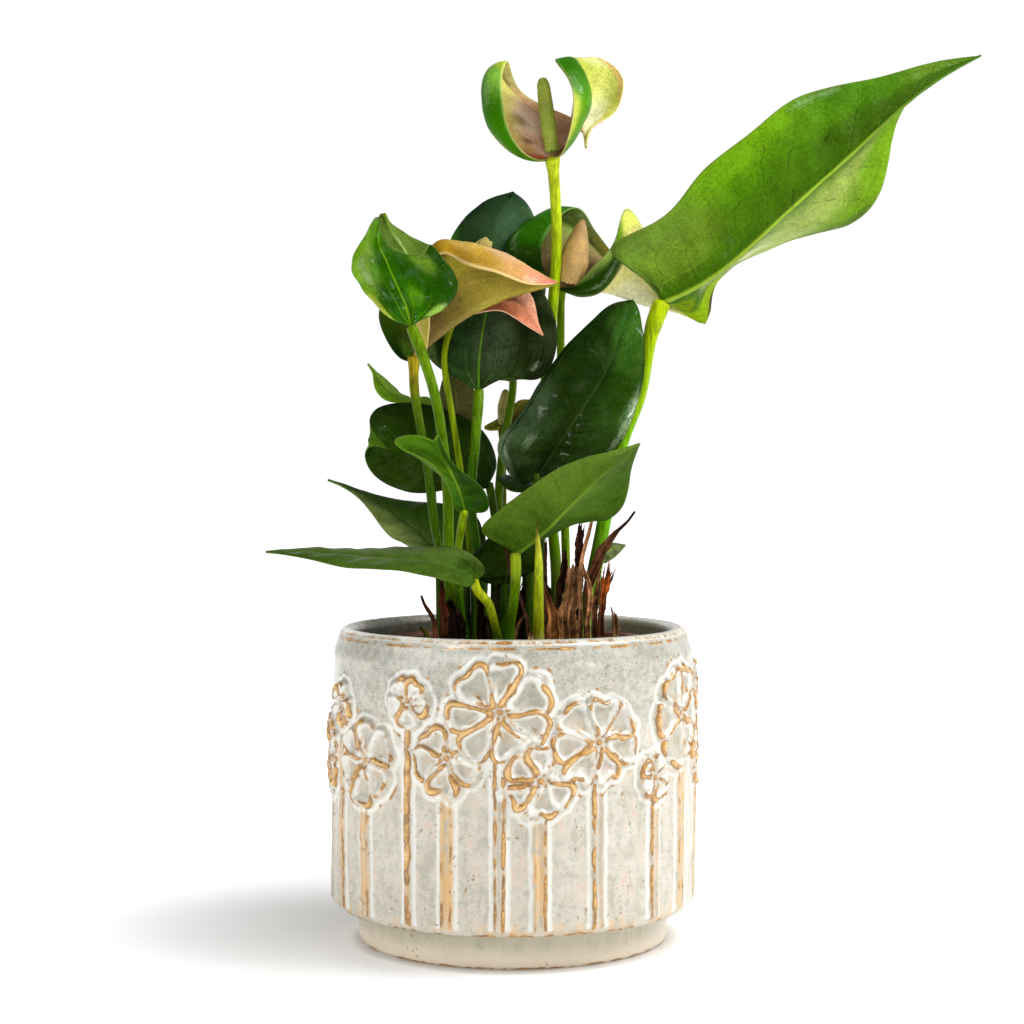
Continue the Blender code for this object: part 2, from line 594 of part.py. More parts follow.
# Dried bracts round the crown: (root, route, widths from root to tip, depth of curl)
BRACTS = {
    "bract_thin": ((15, -12), [(15, -12, 138), (13, -12, 152), (13, -12, 163)], (3.2, 2.6, 2.0, 0.8), 1),
    "bract_shoot": ((15, -20), [(16, -20, 131), (14, -18, 137), (13, -18, 143)], (6.0, 5.4, 3.6, 0.8), 1.5),
    "bract_broad": ((22, -18), [(23, -17, 134), (24, -15, 143), (24, -14, 152)], (11, 8.5, 5.2, 1.0), 3),
    "bract_curled": ((22, -4), [(21, -5, 138), (21, -6, 151), (22, -7, 162)], (5, 4.5, 4, 0.8), 2),
    "bract_dark": ((27, 3), [(26, 3, 141), (27, 1, 156), (28, -1, 169)], (3, 3.6, 4.4, 2.4), 1.4),
    "bract_tan": ((28, -11), [(27, -10, 138), (26, -10, 152), (29, -9, 160),
         (32, -8, 170)], (3, 2.6, 2, 1.8, 1.2), 1),
    "bract_long": ((29, -14), [(31, -15, 138), (34, -15, 152), (40, -15, 163),
         (46, -16, 170), (49, -17, 174)], (2, 2.6, 5.0, 6.2, 3.4, 0.6), 1.5),
    "bract_red": ((35, -4), [(37, -4, 133), (37, -5, 144), (39, -6, 153)], (4.5, 4, 3.4, 1.0), 1.5),
    "bract_stub": ((42, 6), [(42, 6, 129), (41, 6, 135)], (3, 3, 2.2), 1),
    "bract_left": ((-21, -26), [(-23, -26, 133), (-26, -26, 140)], (9, 7, 1.5), 2),
    "bract_twig": ((-31, -12), [(-34, -13, 133), (-37, -14, 140)], (2.6, 2.2, 1.0), 0.6),
}


def make_plant():
    for name, shape in LEAVES.items():
        blade(name, thickness=LEAF_THICKNESS, rows=9, across=2, **shape)
    for name, shape in SPATHES.items():
        blade(name, thickness=SPATHE_THICKNESS, rows=14, across=3, **shape)
    carried = {**LEAVES, **SPATHES}
    for name, (finish, root, route, radii) in STALKS.items():
        base = np.array(carried[name.replace("petiole", "leaf").replace("peduncle", "spathe")]["midrib"][0])
        seat = base - unit(base - np.array(route[-1])) * SEATS.get(name, SEAT)
        stalk(name, finish, root, [*route, seat], radii)
    for name, (finish, route, radii) in SPADICES.items():
        foot, above = np.array(route[0]), np.array(route[1])
        foot = foot - unit(above - foot) * SEATS.get(name, 0)
        stalk(name, finish, None, [foot, *route[1:]], radii, points=7, resolution=2)
    stalk("new_shoot", "stalk_pale", *SHOOT, points=7)
    for name, (root, route, widths, curl) in BRACTS.items():
        bract(name, root, route, widths, curl)


make_planter()
make_liner_and_soil()
make_plant()
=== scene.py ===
"""How a potted anthurium looks: a glazed planter with raised flowers, the grower's pot and soil in it, and a
plant of separate leaves, stalks, flowers, a new shoot and dried bracts, dressed on its solids.

Blender 4.5. Points are worked out in millimetres and become metres when a mesh is made. The origin is the
middle of the planter's underside, +Z is up and -Y is the front."""

import math

import bmesh
import bpy
import numpy as np
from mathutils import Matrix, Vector


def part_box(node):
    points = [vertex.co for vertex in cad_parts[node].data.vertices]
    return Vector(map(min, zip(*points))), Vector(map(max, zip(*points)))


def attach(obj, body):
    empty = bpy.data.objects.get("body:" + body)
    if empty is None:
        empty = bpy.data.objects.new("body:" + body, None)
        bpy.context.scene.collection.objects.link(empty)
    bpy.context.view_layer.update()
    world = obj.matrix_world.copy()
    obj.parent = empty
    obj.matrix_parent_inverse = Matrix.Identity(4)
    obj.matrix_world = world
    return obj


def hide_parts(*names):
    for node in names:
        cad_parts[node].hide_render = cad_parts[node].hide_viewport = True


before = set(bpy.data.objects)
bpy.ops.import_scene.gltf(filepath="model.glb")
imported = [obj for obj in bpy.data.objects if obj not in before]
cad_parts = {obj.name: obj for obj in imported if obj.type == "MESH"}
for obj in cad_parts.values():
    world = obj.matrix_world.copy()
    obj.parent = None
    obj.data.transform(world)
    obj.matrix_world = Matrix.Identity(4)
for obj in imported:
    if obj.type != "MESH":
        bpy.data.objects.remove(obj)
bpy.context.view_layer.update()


# The planter -----------------------------------------------------------------------------------------
# One stoneware pot, turned foot and rolled rim, with flowers on tall stems pressed into its wall. A matt
# white glaze breaks to caramel on each raised edge, lies thick and white beside it and thin and grey
# between the stems.

MM = 0.001
PLANTER_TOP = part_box("planter")[1].z / MM
WALL_RADIUS = 73
WALL_FROM, WALL_TO = 14.6, PLANTER_TOP - 4
FLOWERS_FROM = 54.6
COLUMNS, STEM_ROWS, FLOWER_ROWS = 660, 14, 103
GRAIN = 0.42  # spacing of the grid on which the relief is drawn

# Azimuth in degrees to the right of the front, height, radius, petals and the turn of the first one
RAISED_FLOWERS = (
    (-80, 76, 16, 6, 20), (-66, 98, 10, 5, 70), (-51, 78, 18, 6, 85), (-33, 103, 11, 5, 54),
    (-20, 82, 15, 5, 50), (-4, 100, 21, 7, 30), (8, 74, 16, 6, 30), (26, 88, 19, 7, 33),
    (48, 72, 10, 5, 71), (63, 95, 21, 6, 5), (82, 76, 14, 5, 5), (96, 102, 12, 5, 40),
    (112, 86, 19, 6, 75), (130, 72, 12, 5, 30), (143, 99, 19, 7, 15), (159, 77, 16, 6, 45),
    (173, 103, 11, 5, 80), (187, 86, 19, 6, 25), (204, 72, 12, 5, 55), (216, 101, 14, 5, 0),
    (232, 83, 18, 6, 65), (249, 102, 11, 5, 20), (262, 84, 12, 5, 85),
)

# Half the width of a stem and how bare its left edge, its middle and its right edge are, by the number of its
# flower. The stems of the other flowers are drawn at random.
STEMS = {
    1: (2.4, 0.4, 0.8, 0.8), 2: (2.4, 0.4, 1.0, 0.6), 3: (1.4, 0.9, 0.9, 1.0), 4: (2.4, 0.5, 1.2, 0.6),
    5: (2.2, 0.8, 0.1, 1.0), 6: (2.6, 0.4, 1.1, 0.7), 7: (2.4, 1.1, 0.2, 0.3), 8: (2.2, 0.9, 0.4, 0.2),
    9: (2.4, 0.4, 0.9, 0.4),
}


def unit(vectors):
    """These vectors made 1 long."""
    return vectors / np.maximum(np.linalg.norm(vectors, axis=-1, keepdims=True), 1e-9)


def step(low, high, values):
    """0 below low, 1 above high and smooth between them."""
    share = np.clip((values - low) / (high - low), 0, 1)
    return share * share * (3 - 2 * share)


def drift(places, size, seed, waves=16):
    """Smooth random values, mostly from -1 to 1, that change over about this size in millimetres."""
    draw = np.random.default_rng(seed)
    heading = unit(draw.normal(size=(waves, 3))) / draw.uniform(0.6, 1.5, (waves, 1))
    phase = draw.uniform(0, 2 * math.pi, waves)
    return np.sin(places @ heading.T * (2 * math.pi / size) + phase).sum(axis=-1) / math.sqrt(waves)


def linear(red, green, blue):
    """A colour from its screen values, 0 to 255."""
    screen = np.array([red, green, blue]) / 255
    return np.where(screen > 0.04, ((screen + 0.055) / 1.055) ** 2.4, screen / 12.92)


def bell(distance, width):
    """1 at no distance, falling to nothing over about twice this width."""
    return np.exp(-((distance / width) ** 2))


def around(rows, columns):
    """The faces of rows of points round a line, closed by one point at each end, which come last."""
    end = (rows - 1) * columns
    faces = []
    for place in range(columns):
        after = (place + 1) % columns
        for start in range(0, end, columns):
            faces.append((start + place, start + after, start + columns + after, start + columns + place))
        faces += [(after, place, end + columns), (end + place, end + after, end + columns + 1)]
    return faces


def turn_outward(mesh, join=False):
    """Turns every face outward, after points that meet are joined where that is asked for."""
    form = bmesh.new()
    form.from_mesh(mesh)
    if join:
        bmesh.ops.remove_doubles(form, verts=form.verts, dist=2e-5)
        bmesh.ops.dissolve_degenerate(form, edges=form.edges, dist=1e-6)
        bmesh.ops.holes_fill(form, edges=form.edges, sides=6)
    bmesh.ops.recalc_face_normals(form, faces=form.faces)
    form.to_mesh(mesh)
    form.free()


def seed_of(name):
    """A seed that is always the same for this name."""
    return sum(map(ord, name))


def add_mesh(name, points, faces, finish, closed=True, **fields):
    """A smooth mesh object from points in millimetres. Each field becomes an attribute of its points."""
    mesh = bpy.data.meshes.new(name)
    mesh.from_pydata((np.asarray(points) * MM).tolist(), [], faces)
    for field, values in fields.items():
        values = np.asarray(values, np.float32)
        kind, socket = "FLOAT", "value"
        if values.ndim == 2:
            kind, socket = "FLOAT_COLOR", "color"
            values = np.concatenate([values, np.ones((len(values), 1), np.float32)], axis=1)
        mesh.attributes.new(field, kind, "POINT").data.foreach_set(socket, values.ravel())
    if closed:
        turn_outward(mesh)
    mesh.shade_smooth()
    if finish:
        mesh.materials.append(finish)
    piece = bpy.data.objects.new(name, mesh)
    bpy.context.scene.collection.objects.link(piece)
    return piece


def seat(piece, slot, *nodes):
    """The piece stands for these solids, which are hidden, and rides on the root body. The slot is not used.
    """
    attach(piece, "root")
    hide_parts(*nodes)


class Field:
    """A value that varies over a surface: one shader socket, on which plain sums work."""

    def __init__(self, socket):
        self.socket = socket

    def node(self, kind, sockets, output=0, **settings):
        """One output of a new node in this value's tree, with these settings and these input sockets."""
        tree = self.socket.id_data
        made = tree.nodes.new(kind)
        for key, value in settings.items():
            setattr(made, key, value)
        for key, value in sockets.items():
            if isinstance(value, Field):
                tree.links.new(value.socket, made.inputs[key])
            elif isinstance(value, (float, int, str, bpy.types.ID)):
                made.inputs[key].default_value = value
            else:
                wanted = len(made.inputs[key].default_value)
                made.inputs[key].default_value = (*value, 1)[:wanted]
        return Field(made.outputs[output])

    def maths(self, operation, *others):
        return self.node("ShaderNodeMath", dict(enumerate((self, *others))), operation=operation)

    def __add__(self, other):
        return self.maths("ADD", other)

    def __mul__(self, other):
        return self.maths("MULTIPLY", other)

    def __sub__(self, other):
        return self.maths("SUBTRACT", other)

    def __rsub__(self, other):
        return self.node("ShaderNodeMath", {0: other, 1: self}, operation="SUBTRACT")

    __radd__, __rmul__ = __add__, __mul__

    def step(self, low, high):
        """0 at low, 1 at high and smooth between them."""
        ends = {"Value": self, "From Min": low, "From Max": high}
        return self.node("ShaderNodeMapRange", ends, interpolation_type="SMOOTHSTEP")

    def axis(self, number):
        """One coordinate of this vector."""
        return self.node("ShaderNodeSeparateXYZ", {0: self}, number)

    def length(self):
        return self.node("ShaderNodeVectorMath", {0: self}, 1, operation="LENGTH")

    def blend(self, first, second):
        """The first colour where this value is 0 and the second where it is 1."""
        return self.node("ShaderNodeMix", {0: self, 6: first, 7: second}, 2, data_type="RGBA")

    def scaled(self, strength):
        """This colour made this many times as bright."""
        return self.node("ShaderNodeVectorMath", {0: self, 3: strength}, operation="SCALE")

    def noise(self, size, detail=3, stretch=(1, 1, 1), **more):
        """Noise on these coordinates whose grains are about this many millimetres across."""
        scaled = self.node("ShaderNodeMapping", {"Vector": self, "Scale": stretch})
        sockets = {"Vector": scaled, "Scale": 1 / (size * MM), "Detail": detail, **more}
        return self.node("ShaderNodeTexNoise", sockets)

    def bump(self, height):
        """The normal of this surface raised by a height in millimetres."""
        return self.node("ShaderNodeBump", {"Height": height, "Distance": MM, "Strength": 1.0})


def finish_named(name, roughness=0.5, **fixed):
    """A new material, its shader and its Object coordinates. The fixed values go on the shader's sockets."""
    made = bpy.data.materials.new(name)
    made.use_nodes = True
    shader = made.node_tree.nodes["Principled BSDF"]
    shader.inputs["Roughness"].default_value = roughness
    for socket, value in fixed.items():
        shader.inputs[socket.replace("_", " ").title().replace("Ior", "IOR")].default_value = value
    place = Field(made.node_tree.nodes.new("ShaderNodeTexCoord").outputs["Object"])
    return made, shader, place


def feed(shader, **values):
    """Links these values to the shader's sockets of the same names."""
    for socket, value in values.items():
        shader.id_data.links.new(value.socket, shader.inputs[socket.replace("_", " ").title()])


def attribute(place, name, output="Fac"):
    """A field of the mesh, in the tree of the place."""
    return place.node("ShaderNodeAttribute", {}, output, attribute_name=name)


def glaze():
    """Thin grey and thick white glaze, bare golden edges, tan stems, specks and a plain dark lining, with
    painted shade in the petals' creases and under the wall's overhang and a painted highlight on each bare
    crest.
    """
    made, shader, place = finish_named("glaze", coat_roughness=0.22)
    bare, pool, stem, shade, inside = (
        attribute(place, name) for name in ("bare", "pool", "stem", "shade", "inside")
    )
    aside, height = place.axis(0), place.axis(2)
    cloud = place.noise(9, detail=4, Roughness=0.6)
    mottle = place.noise(2.4, detail=4, Roughness=0.65)
    grain = place.noise(0.5, detail=2)
    streak = place.noise(4, detail=3, stretch=(1, 1, 0.45))
    upper = height.step(0.078, 0.114)
    ground = (cloud * 0.2 + streak * 0.3 + mottle * 0.35 + grain * 0.15).step(0.40, 0.62)
    grey = ground.blend(linear(174, 168, 151), linear(216, 213, 203))
    cool = (mottle * 0.45 + grain * 0.4 + cloud * 0.15).step(0.38, 0.62)
    cooled = cool.blend(linear(142, 142, 129), linear(190, 188, 176))
    band = (upper * (1.25 - cloud * 0.7)).blend(grey, cooled)
    rosy = (mottle * 0.6 + streak * 0.4).step(0.49, 0.63) * (1 - upper * 0.7)
    warm = (rosy * 0.65).blend(band, linear(194, 163, 136))
    # Painted shade: the top of the foot, under the wall's overhang, is darkened towards grey-green.
    foot = (1 - height.step(0.0125, 0.0145)) * height.step(0.002, 0.0105)
    cream = height.step(0.014, 0.0075).blend(warm, linear(224, 210, 188))
    painted_overhang_shade = (foot * (streak * 0.9 + 0.4)).blend(cream, linear(172, 166, 142))
    # Painted shade: the shade field darkens the petals' creases towards grey-brown.
    painted_crease_shade = (shade * (mottle * 1.0 - 0.1)).blend(painted_overhang_shade, linear(156, 146, 118))
    filled = stem * (mottle * 0.4 + streak * 0.6).step(0.34, 0.60) * 0.9
    tan = filled.blend(painted_crease_shade, linear(212, 172, 112))
    thick = (pool * 1.3 + mottle * 0.6 - 0.42).step(0.10, 0.90).blend(tan, linear(223, 222, 214))
    speck = place.noise(1.9, detail=1).step(0.65, 0.71) * place.noise(14, detail=1).step(0.46, 0.62)
    specked = (speck * 0.7).blend(thick, linear(146, 104, 60))
    broken = bare + (mottle - 0.5) * 0.36 + (grain - 0.5) * 0.24
    edge = broken.step(0.25, 0.40)
    # The bare ridges are brown in patches of their own, and are also painted somewhat darker towards their
    # edges: painted shade.
    rust = (mottle * 0.5 + cloud * 0.5).step(0.42, 0.58).blend(linear(142, 98, 48), linear(98, 68, 38))
    golden = (broken * 0.35 + mottle * 0.6 + grain * 0.25).step(0.48, 0.74)
    tone = golden.blend(rust, linear(200, 153, 84))
    # Painted highlight: the top of each bare ridge is paler gold.
    crest = (broken + (grain - 0.5) * 0.6).step(0.86, 1.10).blend(tone, linear(222, 184, 122))
    stained = (broken.step(0.04, 0.34) * mottle.step(0.36, 0.56) * 0.7).blend(specked, linear(196, 160, 106))
    outer = edge.blend(stained, crest)
    # The inside is a mottled dark olive, paler on its right-hand side.
    lining_mottled = (cloud * 0.5 + mottle * 0.5).step(0.38, 0.60).blend(linear(40, 37, 18), linear(88, 82, 54))
    lining = (aside.step(-0.02, 0.06) * 0.6).blend(lining_mottled, linear(150, 146, 118))
    feed(
        shader,
        base_color=inside.blend(outer, lining),
        roughness=mottle * 0.2 - edge * 0.06 + 0.22,
        coat_weight=(1 - inside) * 0.35,
        normal=place.bump(mottle * 0.16 + grain * 0.08 + cloud * 0.2),
    )
    return made


def blurred(values, size):
    """Values on the grid round the wall made softer over about this size in millimetres."""
    wave_u = np.fft.fftfreq(values.shape[1]) * 2 * math.pi / GRAIN
    wave_v = np.fft.fftfreq(2 * len(values)) * 2 * math.pi / GRAIN
    mirrored = np.concatenate([values, values[::-1]])
    soft = np.exp(-((wave_u**2)[None] + (wave_v**2)[:, None]) * size**2 / 2)
    return np.fft.ifft2(np.fft.fft2(mirrored) * soft).real[: len(values)]


def relief():
    """The raised ornament on a grid round the wall: its azimuths, its heights and how far it stands out, then
    where its glaze is bare, thick or tan, and where painted shade darkens the hollows."""
    across = int(2 * math.pi * WALL_RADIUS / GRAIN)
    azimuth = np.linspace(-math.pi, math.pi, across, endpoint=False)
    height = np.arange(WALL_FROM, WALL_TO + GRAIN, GRAIN)
    turn, up = np.meshgrid(azimuth, height)
    wall = np.stack([np.sin(turn) * WALL_RADIUS, -np.cos(turn) * WALL_RADIUS, up], axis=-1)
    wobble = drift(wall, 10, seed=3) * 0.5
    patchy = drift(wall, 8, seed=5) + 0.5 * drift(wall, 3.5, seed=6)
    rise, line, halo, tan, shade = (np.zeros_like(up) for _ in range(5))
    for number, (degrees, middle, radius, petals, first) in enumerate(RAISED_FLOWERS):
        draw = np.random.default_rng(number)
        aside = (turn - math.radians(degrees) + math.pi) % (2 * math.pi) - math.pi
        aside = aside * WALL_RADIUS + wobble
        # The stem: a flat band with a bead along each edge, one of which is often the stronger
        any_stem = draw.uniform((2.1, 0.2, 0.1, 0.2), (2.6, 1, 1, 1))
        half, left_edge, fill, right_edge = STEMS.get(number, any_stem)
        across_stem = aside - 0.6 * wobble
        length = step(middle, middle - 2, up) * step(16.4, 17.8, up)
        band = length * step(half + 0.5, half - 0.2, np.abs(across_stem))
        left_bead, right_bead = bell(across_stem + half - 0.6, 0.8), bell(across_stem - half + 0.6, 0.8)
        beads = left_edge * left_bead + right_edge * right_bead
        rise = np.where(band > 0.01, band * (0.55 + 1.1 * (left_bead + right_bead)), rise)
        line = np.where(band > 0.01, band * beads * (0.72 + 0.38 * patchy), line)
        shade = np.where(band > 0.01, 0, shade)
        halo = np.maximum(halo, length * bell(np.abs(across_stem) - half - 1.3, 0.8)) * (1 - band)
        tan = np.where(band > 0.01, band * fill, tan)
        # Petals round an eye, each laid over what is under it in a random order
        above = up - middle + wobble
        out = np.hypot(aside, above)
        bearing = np.arctan2(above, aside)
        whole = np.full_like(up, -9.0)
        for petal in draw.permutation(petals):
            axis = math.radians(first) + 2 * math.pi * petal / petals + draw.uniform(-0.08, 0.08)
            spread = math.pi / petals * draw.uniform(1.0, 1.3)
            reach = radius * draw.uniform(0.9, 1.06)
            notch = draw.uniform(0.02, 0.12)
            glazed = draw.permutation((0.0, 0.3, 0.8, 1.3)) + draw.uniform(-0.1, 0.2, 4)
            off = (bearing - axis + math.pi) % (2 * math.pi) - math.pi
            bent = np.clip(off / spread, -1, 1)
            tip = reach * (1 - notch * bell(off, 0.18) - 0.2 * np.abs(bent) ** 3) - out
            side = out * np.sin(np.clip(spread - np.abs(off), -1.5, 1.5))
            inward = -1.2 * np.logaddexp(-tip / 1.2, -side / 1.2)
            inward = np.where(np.abs(off) < 1.4, inward, -9)
            lit = np.interp(bent, (-1, -0.45, 0.45, 1), glazed)
            edging = step(1.8, 4, out)
            ridge = bell(inward - 1.3, 0.95) * edging
            crest = bell(inward - 1.0, 0.62 + 0.24 * lit) * edging
            veins = sum(bell(out * np.sin(off - lean * spread), 0.4) for lean in (-0.42, 0.0, 0.42))
            veins = veins * step(0.26, 0.36, out / reach) * step(0.70, 0.5, out / reach) * (inward > 1)
            inner = inward > -0.5
            form = 0.75 + (1.9 + 0.3 * patchy) * ridge + 0.35 * veins - 0.4 * step(1.6, 5, inward)
            rise = np.where(inner, form, rise)
            drawn = np.maximum(crest * (lit + 0.5 * patchy), 0.5 * veins * (0.5 + 0.6 * patchy))
            line = np.where(inner, drawn, line)
            # Painted shade: a band inside each petal's raised edge, its veins and its inner part near the eye
            # are darkened.
            creased = 0.8 * bell(inward - 4.4, 1.2) + 0.8 * veins + step(0.5, 0.2, out / reach)
            shade = np.where(inner, np.clip(creased * (0.8 + 0.3 * patchy), 0, 1), shade)
            whole = np.maximum(whole, inward)
            tan = np.where(inner, 0, tan)
            pale = np.clip(1 - 1.2 * lit, 0, 1) * ridge
            halo = np.where(inner, np.maximum(0.7 * bell(inward - 2.3, 0.9), pale), halo)
        eye = bell(out, 1.1)
        dots = 0.8 * bell(out - 2.6, 0.6) * step(0.2, 0.8, np.cos(6 * bearing + number))
        rise = rise + 0.9 * eye + 0.5 * dots
        line = np.maximum.reduce([line, eye, dots])
        border = bell(whole + 1.8, 0.75)
        halo = np.maximum(halo, border)
        rise = np.where(whole < -0.4, np.maximum(rise, 0.5 * border), rise)
        dashes = 0.6 * bell(whole + 3.2, 0.6) * step(0.3, 1.2, drift(wall, 4, seed=40 + number))
        line = np.where(whole < -0.4, np.maximum(line, dashes), line)
    line = np.clip(line, 0, 1.15)
    rise = blurred(rise, 0.3) + 0.2 * blurred(np.maximum(halo, rise), 1.4)
    pool = np.clip(1.7 * blurred(line, 1.0) + 0.9 * blurred(halo, 0.5) - 0.9 * blurred(line, 0.3), 0, 1)
    return azimuth, height, rise, blurred(line, 0.25), pool, blurred(tan, 0.3), blurred(shade, 0.3)


def make_planter():
    """The whole planter as one closed turned piece, its wall raised by the relief."""
    azimuth, height, rise, line, pool, tan, shade = relief()
    turns = np.linspace(-math.pi, math.pi, COLUMNS, endpoint=False)
    turns = turns - 0.3 * np.sin(turns)  # closer together at the front
    stem_rows = np.linspace(WALL_FROM + 3.4, FLOWERS_FROM - 0.6, STEM_ROWS)
    levels = (*stem_rows, *np.linspace(FLOWERS_FROM, WALL_TO, FLOWER_ROWS))
    wall = [(WALL_RADIUS - 1.8 * step(WALL_TO - 7, WALL_TO + 1, level), level) for level in levels]
    top = PLANTER_TOP
    foot = [
        (0.5, 1.2), (56, 1.2), (58.5, 0), (61.3, 0), (62.6, 0.5), (63, 1.6), (63.2, 6), (63.3, 11),
        (63.6, 13.4), (65, 14.4), (69.5, 14.5), (71.9, 14.9), (72.9, 16.2),
    ]
    rim = [
        (71.0, top - 3.4), (70.7, top - 2.4), (70.2, top - 1.4), (69.2, top - 0.5), (67.9, top),
        (66.3, top - 0.3), (65, top - 1.4),
    ]
    lining = [
        (64.5, top - 3.5), (64.5, top - 9), (64.5, 90), (64.5, 28), (60, 15), (57, 11), (53, 8.2), (0.5, 8),
    ]
    profile = np.array([*foot, *wall, *rim, *lining])
    rows, wall_end = len(profile), len(foot) + len(wall)
    radius, level = profile[:, 0][:, None], profile[:, 1][:, None]
    column = ((turns + math.pi) * len(azimuth) / (2 * math.pi) % len(azimuth))[None]
    row = (level - height[0]) / GRAIN
    on_wall = np.zeros((rows, 1))
    on_wall[len(foot) : wall_end] = 1

    def sample(values):
        """Values of the relief at each point of the wall, and 0 elsewhere."""
        low_row = np.clip(np.floor(row), 0, len(values) - 2).astype(int)
        low_column = np.floor(column).astype(int) % values.shape[1]
        next_column = (low_column + 1) % values.shape[1]
        up, along = np.clip(row - low_row, 0, 1), column - low_column
        low = values[low_row, low_column] * (1 - along) + values[low_row, next_column] * along
        high = values[low_row + 1, low_column] * (1 - along) + values[low_row + 1, next_column] * along
        return (low * (1 - up) + high * up) * on_wall

    fade = step(WALL_TO, WALL_TO - 5, level)
    spread = radius + sample(rise) * fade
    spots = np.stack([np.sin(turns) * spread, -np.cos(turns) * spread, level + 0 * spread], axis=-1)
    hand = drift(spots, 60, seed=8) * 0.25 + drift(spots, 9, seed=9) * 0.06
    hand *= step(2, 20, level)
    spots[..., 0] += np.sin(turns) * hand
    spots[..., 1] -= np.cos(turns) * hand
    patchy = drift(spots, 12, seed=11) + 0.6 * drift(spots, 4, seed=12)

    def ring(at, width):
        """A band round the outside at this height, weaker on the foot."""
        return bell(level - at, width) * (radius > 62.5) * (0.45 + 0.55 * (radius > 68))

    outer_rim = ring(top - 1.0, 0.5) * (0.62 + 0.16 * patchy)
    dashes = ring(top - 3.4, 0.5) * (0.40 + 0.28 * patchy)
    bottom = ring(15.3, 0.8) * (0.50 + 0.35 * patchy)
    standing = 2.2 * ring(0.3, 0.6) * (0.5 + 0.3 * patchy)
    bare = np.maximum.reduce([sample(line) * fade, outer_rim, dashes, bottom, standing])
    thick = np.clip(sample(pool) + ring(17.5, 1.8) * 0.25 + ring(top - 1, 1.2), 0, 1)
    inside = np.zeros((rows, COLUMNS))
    inside[wall_end + len(rim) :] = 1
    points = [*spots.reshape(-1, 3), (0, 0, foot[0][1]), (0, 0, lining[-1][1])]
    smears = ring(17.5, 2.2) * np.clip(0.35 + 0.8 * patchy, 0, 1)
    fields = {
        "bare": bare, "pool": thick, "stem": np.maximum(sample(tan), smears), "shade": sample(shade),
        "inside": inside,
    }
    fields = {name: np.append(values.ravel(), (0, 0)) for name, values in fields.items()}
    return add_mesh("planter_glazed", points, around(rows, COLUMNS), glaze(), **fields)


seat(make_planter(), "glaze", "planter")


# The grower's pot and its soil -----------------------------------------------------------------------
# A thin moulded plastic pot with a stiff rolled rim stands loose inside the planter. It is filled with
# dark peat, bark chips and pale grit.

POT_LOW, POT_HIGH = (corner.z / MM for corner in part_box("nursery_pot"))
SOIL_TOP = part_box("soil")[1].z / MM


def turned(name, profile, columns, finish, drift_by=0.0):
    """A closed turned piece from a profile of (radius, height), which starts and ends on its axis."""
    turns = np.linspace(0, 2 * math.pi, columns, endpoint=False)
    profile = np.array(profile, float)
    radius, height = profile[1:-1].T
    spots = np.stack([
        np.outer(radius, np.sin(turns)), -np.outer(radius, np.cos(turns)), np.outer(height, turns * 0 + 1)
    ], axis=-1)
    spots[..., 2] += drift(spots, 14, seed=21) * drift_by
    points = [*spots.reshape(-1, 3), (0, 0, profile[0, 1]), (0, 0, profile[-1, 1])]
    return add_mesh(name, points, around(len(radius), columns), finish)


def moulded_plastic():
    """Reddish-brown plastic with pale scuffs."""
    made, shader, place = finish_named("moulded_plastic")
    cloud, grain = place.noise(12), place.noise(0.8)
    scuff = place.noise(5, detail=5, Roughness=0.7).step(0.56, 0.7)
    tone = cloud.step(0.35, 0.65).blend(linear(112, 60, 42), linear(138, 78, 54))
    feed(
        shader,
        base_color=(scuff * 0.4).blend(tone, linear(166, 122, 96)),
        roughness=scuff * 0.25 + 0.4,
        normal=place.bump(grain * 0.05 + cloud * 0.2),
    )
    return made


top = POT_HIGH
pot_profile = [
    (0, POT_LOW), (44, POT_LOW), (46.3, POT_LOW + 0.4), (47, POT_LOW + 1.5), (60.5, top - 6.6),
    (61.2, top - 6), (62.4, top - 5.9), (62.8, top - 5.4), (62.8, top - 1), (62.3, top - 0.2), (61.6, top),
    (60.2, top), (59.7, top - 0.4), (59.4, top - 1.4), (46, POT_LOW + 3), (44, POT_LOW + 1.6),
    (0, POT_LOW + 1.6),
]
seat(turned("nursery_pot_moulded", pot_profile, 160, moulded_plastic()), "terracotta_plastic", "nursery_pot")


def peat():
    """Dark damp potting mix with pale flecks."""
    made, shader, place = finish_named("peat", roughness=0.95)
    lump, grain = place.noise(3, detail=5, Roughness=0.7), place.noise(0.6, detail=3)
    tone = (lump * 0.6 + grain * 0.4).step(0.35, 0.66).blend(linear(30, 20, 14), linear(78, 54, 38))
    fleck = grain.step(0.66, 0.72)
    feed(
        shader,
        base_color=(fleck * 0.6).blend(tone, linear(150, 126, 98)),
        normal=place.bump(lump * 1.2 + grain * 0.5),
    )
    return made


def bark():
    """Peat, bark or grit, by the kind that each crumb carries."""
    made, shader, place = finish_named("bark_and_grit", roughness=0.9)
    kind, grain = attribute(place, "kind"), place.noise(0.7, detail=3, stretch=(1, 1, 0.4))
    chip = (grain * 0.8 + 0.1).step(0.3, 0.7).blend(linear(44, 26, 16), linear(112, 74, 48))
    peaty = grain.step(0.3, 0.7).blend(linear(24, 16, 11), linear(62, 42, 30))
    grit = grain.step(0.3, 0.7).blend(linear(150, 140, 124), linear(206, 198, 184))
    strewn = kind.step(0.45, 0.5).blend(peaty, chip)  # nearly half are peat and a few are grit
    feed(
        shader,
        base_color=kind.step(0.93, 0.95).blend(strewn, grit),
        normal=place.bump(grain * 0.4),
    )
    return made


